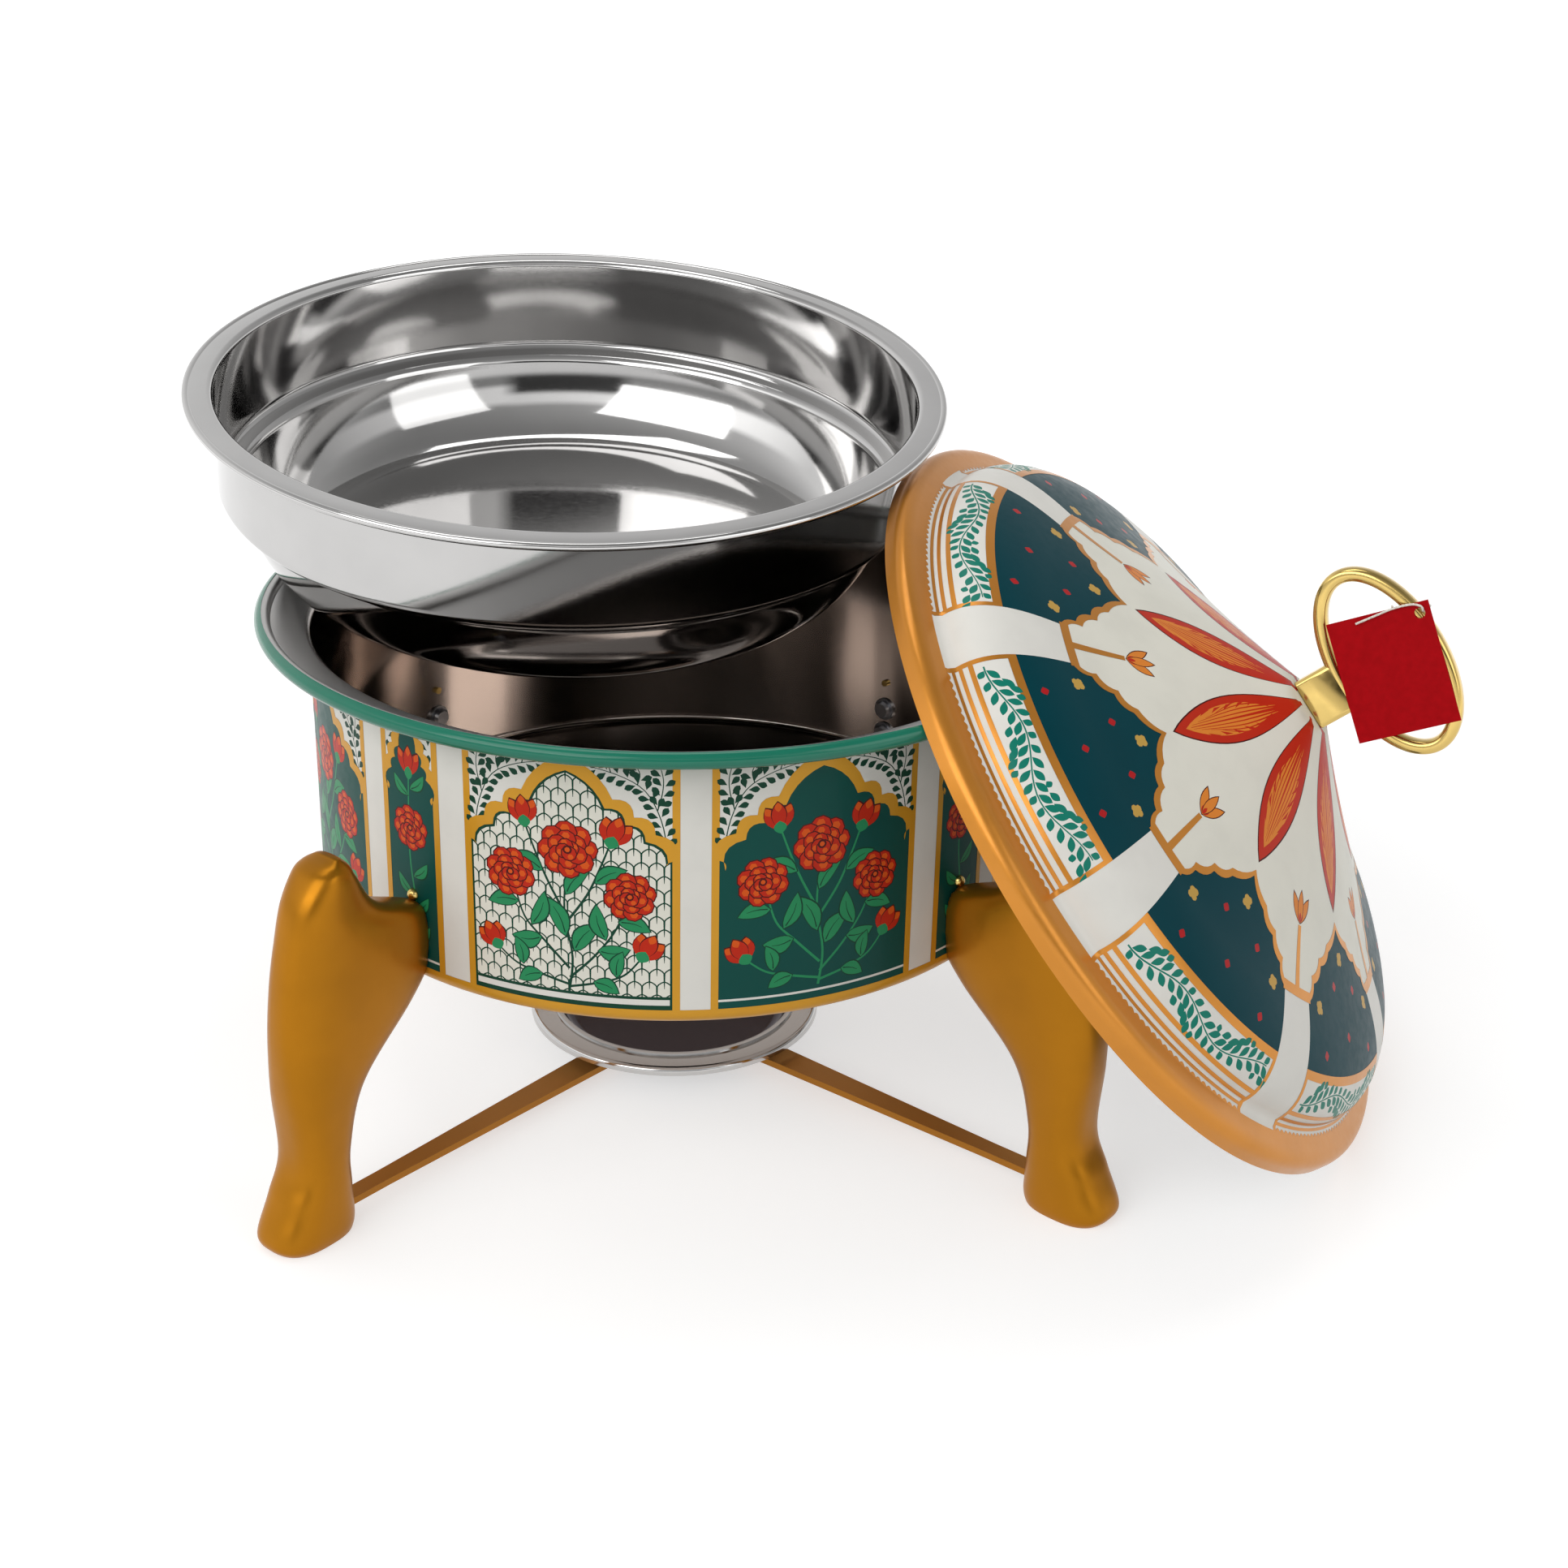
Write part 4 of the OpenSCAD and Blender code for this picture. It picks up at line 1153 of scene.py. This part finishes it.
class DISH_OT_drum(bpy.types.Operator):
    """Turns the steel drum, enamels its rim and base, and paints its wall"""

    bl_idname = "dish.drum"
    bl_label = "Drum"

    def execute(self, context):
        metal, paint = context.scene.dish_metal, context.scene.dish_paint
        n, coat = metal.segments, paint.coat / MM
        fold = arc((DRUM_R - BASE_FOLD, DRUM_LIFT + BASE_FOLD), BASE_FOLD, -90, 0, 10)
        flare = arc((DRUM_R + RIM_FLARE, LIP_Z - RIM_FLARE - DRUM_SHEET), RIM_FLARE, 105, 180, 8)[::-1]
        line = [(0, DRUM_LIFT)] + fold + flare + [(BEAD_AT[0], BEAD_AT[1] - DRUM_SHEET / 2)]
        core = sheet(beside(line, coat), DRUM_SHEET - coat)
        bead = arc(BEAD_AT, BEAD_R - coat, 0, 345, 23)
        cover = flare + arc(BEAD_AT, BEAD_R, -158, 82, 22)
        foot = [(DRUM_R - 14, DRUM_LIFT)] + fold + [(DRUM_R, FIELD_FOOT + 0.4)]
        steel = self.bare(metal.steel)
        green = enamel("rim_enamel", paint.rim, 0.5, (0.2, 0.26))
        gold = enamel("gold_paint", paint.gold, 0.2, (0.3, 0.42), 0.2)
        add_turned("drum_body", core, n, "base", steel, ("drum",))
        for name, outline, slot, look in (
            ("drum_bead", bead, "pan_steel", steel),
            ("rim_enamel", sheet(cover, coat - GAP), "drum_enamel", green),
            ("base_band", sheet(foot, coat - GAP), "drum_enamel", gold),
        ):
            add_turned(name, outline, n, "base", look, crease=ROLLED_CREASE)
        self.wall(paint, gold)
        return {"FINISHED"}

    def bare(self, steel):
        """Steel that is polished inside the drum and satin on its flange, with a painted warm shade inside
        and a painted highlight on the flange.
        """
        look = Finish("drum_steel", metallic=1.0)
        flange = look.radius((DRUM_R - 1.5) * MM, (DRUM_R + 2) * MM)
        # Painted shade and highlight: the steel inside the drum is tinted darker and brown, and the flange
        # and bead are painted lighter
        warm = (0.95 * steel[0], 0.86 * steel[1], 0.8 * steel[2])
        look.colour(flange, (0.0, warm), (1.0, shade(steel, 1.1)))
        look.gloss(flange, 0.1, 0.36, 0, 1)
        look.bump(look.noise(700, 2, (1, 1, 9)), 0.00002, 0.12)
        return look.material

    def wall(self, paint, gold):
        """Paints one quarter and repeats it round the drum."""
        motifs, end = drum_quarter()
        steps, around = 45, 4 * end
        lines = [((end * i / steps, FIELD_FOOT), (end * i / steps, FIELD_TOP)) for i in range(steps + 1)]

        def inside(p):
            return 0 < p.x < end and FIELD_FOOT < p.y < FIELD_TOP

        def surface(p):
            a = math.radians(LEG_NAMES["leg_front_left"]) + p[0] / DRUM_R
            out = Vector((math.cos(a), math.sin(a), 0))
            return out * DRUM_R * MM + Vector((0, 0, p[1] * MM)), out

        def onwards(p, quarter):
            x = p[0] + quarter * end
            return (x % around if abs(x - around) > 1e-3 else 0.0, p[1])

        def copies(cells):
            return [[onwards(points[i], q) for i in cell] for cell in cells for q in range(4)]

        points, colours = cut_field(motifs, lines, inside)
        add_coats("drum_", "base", colours, copies, surface, paint, gold)


class DISH_OT_lid(bpy.types.Operator):
    """Turns the lid, gilds its brim and paints its dome"""

    bl_idname = "dish.lid"
    bl_label = "Lid"

    def execute(self, context):
        metal, paint = context.scene.dish_metal, context.scene.dish_paint
        n, coat = metal.segments, paint.coat / MM
        steel = polished("lid_steel", metal.steel, (0.14, 0.24))
        gold = enamel("brim_gold", paint.brim, 0.2, (0.29, 0.36), 0.6)
        dome = Dome()
        shell = sheet(beside(lid_line(16), coat), LID_SHEET - coat)
        brim = [p for p in lid_line() if p[1] < BRIM_TOP] + [dome.at(TOOTH_REACH)[:2]]
        add_turned("lid_body", shell, n, "lid", steel, ("lid_shell",), LID)
        add_turned("brim_gold", sheet(brim, coat - GAP), n, "lid", gold, (), LID, ROLLED_CREASE)
        self.field(dome, paint, gold)
        return {"FINISHED"}

    def field(self, dome, paint, gold):
        """Paints one sector and repeats it round the dome."""
        half = SECTOR_HALF
        steps = round(2 * half / FIELD_STEP)
        turns = [-half + FIELD_STEP * i for i in range(steps + 1)]
        lines = [(polar(3, turn), polar(TOOTH_REACH, turn)) for turn in turns]
        reach = NECK_R
        while reach < TOOTH_REACH:
            ring = [polar(reach, -half - 1 + FIELD_STEP * i) for i in range(steps + 2)]
            lines += list(zip(ring, ring[1:]))
            reach += 3.0 if reach > STEM_REACH else 5.0

        def inside(p):
            return abs(math.degrees(math.atan2(p.y, p.x))) < half and p.length < TOOTH_REACH

        def copies(cells):
            turns = [DOME_TURN + 360 * k / DOME_SECTORS for k in range(DOME_SECTORS)]
            return [spun([points[i] for i in cell], turn) for turn in turns for cell in cells]

        points, colours = cut_field(dome_sector(), lines, inside)
        add_coats("lid_", "lid", colours, copies, dome.surface, paint, gold)


class DISH_OT_legs(bpy.types.Operator):
    """Casts the four cabriole legs"""

    bl_idname = "dish.legs"
    bl_label = "Legs"

    def execute(self, context):
        gold = gilt("leg_gilt", context.scene.dish_metal.gilt)
        knee, toe, heel, pad_top, w, p = 228.0, 239.0, 201.0, 122.5, 15.5, 10.0
        ankle, scroll, lift = 36.0, 38.0, DRUM_LIFT
        mid = (ankle + lift) / 2
        stations = [
            (heel, -1, toe - 4, -1, w * 0.8, w * 0.85), (heel - 2, 5, toe, 5, w * 0.86, w * 0.98),
            (heel - 1.5, ankle * 0.55, knee + 4, ankle * 0.55, w * 0.82, w * 0.95),
            (heel - 2, ankle + 2, knee - 2.5, ankle, w * 0.78, w * 0.9),
            (heel - 12, mid - 1, knee - 0.5, mid + 3, w * 0.76, w * 0.96),
            (DRUM_R + 5, lift - 4, knee, lift - 2, p, w), (DRUM_R - 6, lift + 12, knee - 2, lift + 19, p, w),
            (DRUM_R - 4, pad_top, knee - 5.5, pad_top + 4, p, w * 0.98),
            (DRUM_R + 22, pad_top + scroll * 0.32, knee - 11, pad_top + scroll * 0.55, p, w * 0.92),
            (DRUM_R + 33, pad_top + scroll * 0.74, knee - 18, pad_top + scroll * 0.84, w * 0.7, w * 0.8),
            (DRUM_R + 36, pad_top + scroll * 0.89, knee - 23, pad_top + scroll * 0.94, w * 0.58, w * 0.66),
            (DRUM_R + 39.5, pad_top + scroll * 0.98, knee - 29, pad_top + scroll * 0.99, w * 0.36, w * 0.42),
        ]
        rings = [self.ring(station) for station in spline(stations, 9)]
        last = rings[-1]
        crest = [sum(v) / len(last) for v in zip(*last)]
        for share, rise in ((0.8, 0.25), (0.5, 0.4), (0.15, 0.45)):
            drawn_in = [[c + share * (v - c) for c, v in zip(crest, at)] for at in last]
            rings.append([(x, y, z + rise) for x, y, z in drawn_in])
        for name, turn in LEG_NAMES.items():
            mesh = smooth_mesh("cast_" + name, *skinned(rings), placed(face=turn), 50)
            add_piece("cast_" + name, mesh, "base", gold, (name,))
        return {"FINISHED"}

    def ring(self, station):
        """Soft-cornered ring of a leg at one station, kept off the drum's wall and the floor."""
        back_x, back_z, front_x, front_z, back_w, front_w = station
        wall = DRUM_R + 0.1
        out = []
        for c, v in soft_square(64, 0.75):
            t = (1 + c) / 2
            x, z = back_x + t * (front_x - back_x), back_z + t * (front_z - back_z)
            y = v * (back_w + t * (front_w - back_w))
            r = math.hypot(x, y)
            if r < wall:
                x, y = x * wall / r, y * wall / r
            out.append((x, y, max(z, 0.0)))
        return out


class DISH_OT_burner(bpy.types.Operator):
    """Turns the burner dish and finishes the crossed bars"""

    bl_idname = "dish.burner"
    bl_label = "Burner and bars"

    def execute(self, context):
        metal = context.scene.dish_metal
        low, top, bowl, edge, gauge, fold = 11.3, 17.3, 54.0, 65.0, 0.8, 1.5
        line = [(0, low)]
        line += bezier((bowl - 9, low), (bowl - 4, low), (bowl - 0.6, low + 3), (bowl - 0.4, top), 12)
        line += [(bowl, top + 1.4), (bowl + 1, top + 1.4), (bowl + 1.6, top)]
        line += arc((edge - fold, top - fold), fold, 90, 0, 6) + [(edge, top - 3)]
        look = Finish("burner_steel", metallic=1.0)
        # Painted shade: the bowl is coloured dark as the reflection under the drum, lighter towards its rim,
        # and the flange keeps the steel's colour
        painted_bowl_shade, steel = metal.burner, metal.steel
        look.colour(look.radius(0.0, edge * MM),
                    (0.0, painted_bowl_shade), (0.78, shade(painted_bowl_shade, 1.4)), (0.84, steel), (1.0, steel))
        look.gloss(look.noise(500, 3, (1, 1, 6)), 0.08, 0.16)
        add_turned("burner_bowl", sheet(line, gauge), metal.segments, "burner", look.material,
                   ("burner_dish",))
        bronze = gilt("bar_bronze", metal.bronze)
        for node in ("brace_bar_lower", "brace_bar_upper", "brace_rivet"):
            finish_node(node, bronze)
        return {"FINISHED"}


class DISH_OT_pan(bpy.types.Operator):
    """Turns the polished food pan"""

    bl_idname = "dish.pan"
    bl_label = "Food pan"

    def execute(self, context):
        metal = context.scene.dish_metal
        n = metal.segments
        r, wall, depth, dish, ledge, fold, edge, gauge = 152.0, 44.0, 82.0, 37.0, 8.5, 2.0, 1.7, 1.0
        rim = (r + 12 - edge, -gauge - edge / 2)
        line = [(0, -depth), ((r - dish) / 2, -depth)]
        line += bezier((r - dish, -depth), (r - dish * 0.55, -depth),
                       (r - ledge - 2.5, -wall - 14), (r - ledge, -wall - 4), 26)
        line += bezier((r - ledge + 1.5, -wall - 2.5), (r - 2, -wall - 1), (r, -wall), (r, 4 - wall), 12)
        line += arc((r + fold, -fold - gauge), fold, 180, 96, 8) + [rim]
        roll = arc(rim, edge, 0, 337.5, 15)
        steel = polished("pan_steel", metal.steel, (0.04, 0.1), (1, 1, 7))
        add_turned("pan_body", sheet(line, gauge), n, "pan", steel, ("food_pan",), PAN)
        add_turned("pan_edge", roll, n, "pan", steel, (), PAN, ROLLED_CREASE)
        return {"FINISHED"}


class DISH_OT_handle(bpy.types.Operator):
    """Forms the brass handle and finishes its tag"""

    bl_idname = "dish.handle"
    bl_label = "Handle and tag"

    def execute(self, context):
        metal = context.scene.dish_metal
        brass = polished("handle_brass", metal.brass, (0.1, 0.2), depth=0.1, grain=160)
        for name, verts_faces, crease, nodes in (
            ("handle_loop", skinned(self.loop(), True), ROLLED_CREASE, ("lid_handle",)),
            ("handle_neck", skinned(self.neck()), CREASE, ()),
        ):
            mesh = smooth_mesh(name, *verts_faces, HANDLE, crease)
            add_piece(name, mesh, "lid", brass, nodes)
        card = Finish("tag_card", roughness=0.5, specular_ior_level=0.08)
        card.colour(card.noise(350, 4), (0.3, srgb(160, 0, 9)), (0.7, srgb(174, 2, 14)))
        card.bump(card.noise(2200, 3), 0.00003, 0.3)
        finish_node("hang_tag", card.material)
        return {"FINISHED"}

    def loop(self):
        """Rings of a soft-cornered bar along an oval."""
        rx, rz, bar_t, bar_w = 39.5, 21.0, 6.0, 9.0
        bar = soft_square(28, 0.7)
        rings = []
        for x, z in circle(144):
            out = Vector((x / rx, 0, z / rz)).normalized()
            at = Vector((rx * x, 0, LOOP_Z + rz * z))
            rings.append([at + out * c * bar_t / 2 + Vector((0, v * bar_w / 2, 0)) for c, v in bar])
        return rings

    def neck(self):
        """Rings of a block with round corners, eased at both ends."""
        wide, deep, corner = 11.0, 4.5, 2
        rings = []
        for rise, grow in ((0, -0.5), (0.5, 0.0), (6, 0.0), (16, 0.0), (17, -0.7)):
            x, y = wide + grow - corner, deep + grow - corner
            ring = []
            for quarter, middle in enumerate(((x, y), (-x, y), (-x, -y), (x, -y))):
                ring += arc(middle, corner, 90 * quarter, 90 * quarter + 90, 6)
            rings.append([(*at, CROWN_Z + rise) for at in ring])
        return rings


class DISH_OT_fixings(bpy.types.Operator):
    """Finishes the screws, washers and rivets"""

    bl_idname = "dish.fixings"
    bl_label = "Fixings"

    def execute(self, context):
        metal = context.scene.dish_metal
        zinc = polished("zinc_plate", metal.zinc, (0.28, 0.42), depth=0.15, grain=300)
        for node in ("leg_screws", "leg_washers", "handle_washer", "handle_screw"):
            finish_node(node, zinc)
        finish_node("pad_rivets", polished("rivet_brass", metal.brass, (0.16, 0.26), depth=0.12, grain=300))
        return {"FINISHED"}


class DISH_PT_panel(bpy.types.Panel):
    """Lists the steps that dress the dish"""

    bl_idname = "DISH_PT_panel"
    bl_label = "Chafing dish"
    bl_space_type = "VIEW_3D"
    bl_region_type = "UI"
    bl_category = "Dish"

    def draw(self, context):
        for step in STEPS:
            self.layout.operator(step.bl_idname)
        for group in GROUPS:
            props = getattr(context.scene, group)
            for key in props.bl_rna.properties.keys():
                if key not in ("rna_type", "name"):
                    self.layout.prop(props, key)


GROUPS = {"dish_paint": DishPaint, "dish_metal": DishMetal, "dish_stage": DishStage}
STEPS = (
    DISH_OT_stage, DISH_OT_string, DISH_OT_drum, DISH_OT_lid, DISH_OT_legs, DISH_OT_burner, DISH_OT_pan,
    DISH_OT_handle, DISH_OT_fixings,
)


def register():
    for name, group in GROUPS.items():
        bpy.utils.register_class(group)
        setattr(bpy.types.Scene, name, PointerProperty(type=group))
    for cls in (*STEPS, DISH_PT_panel):
        bpy.utils.register_class(cls)


def unregister():
    for cls in (DISH_PT_panel, *STEPS[::-1]):
        bpy.utils.unregister_class(cls)
    for name, group in GROUPS.items():
        delattr(bpy.types.Scene, name)
        bpy.utils.unregister_class(group)


def main():
    register()
    for step in STEPS:
        space, name = step.bl_idname.split(".")
        getattr(getattr(bpy.ops, space), name)()


if __name__ == "__main__":
    main()
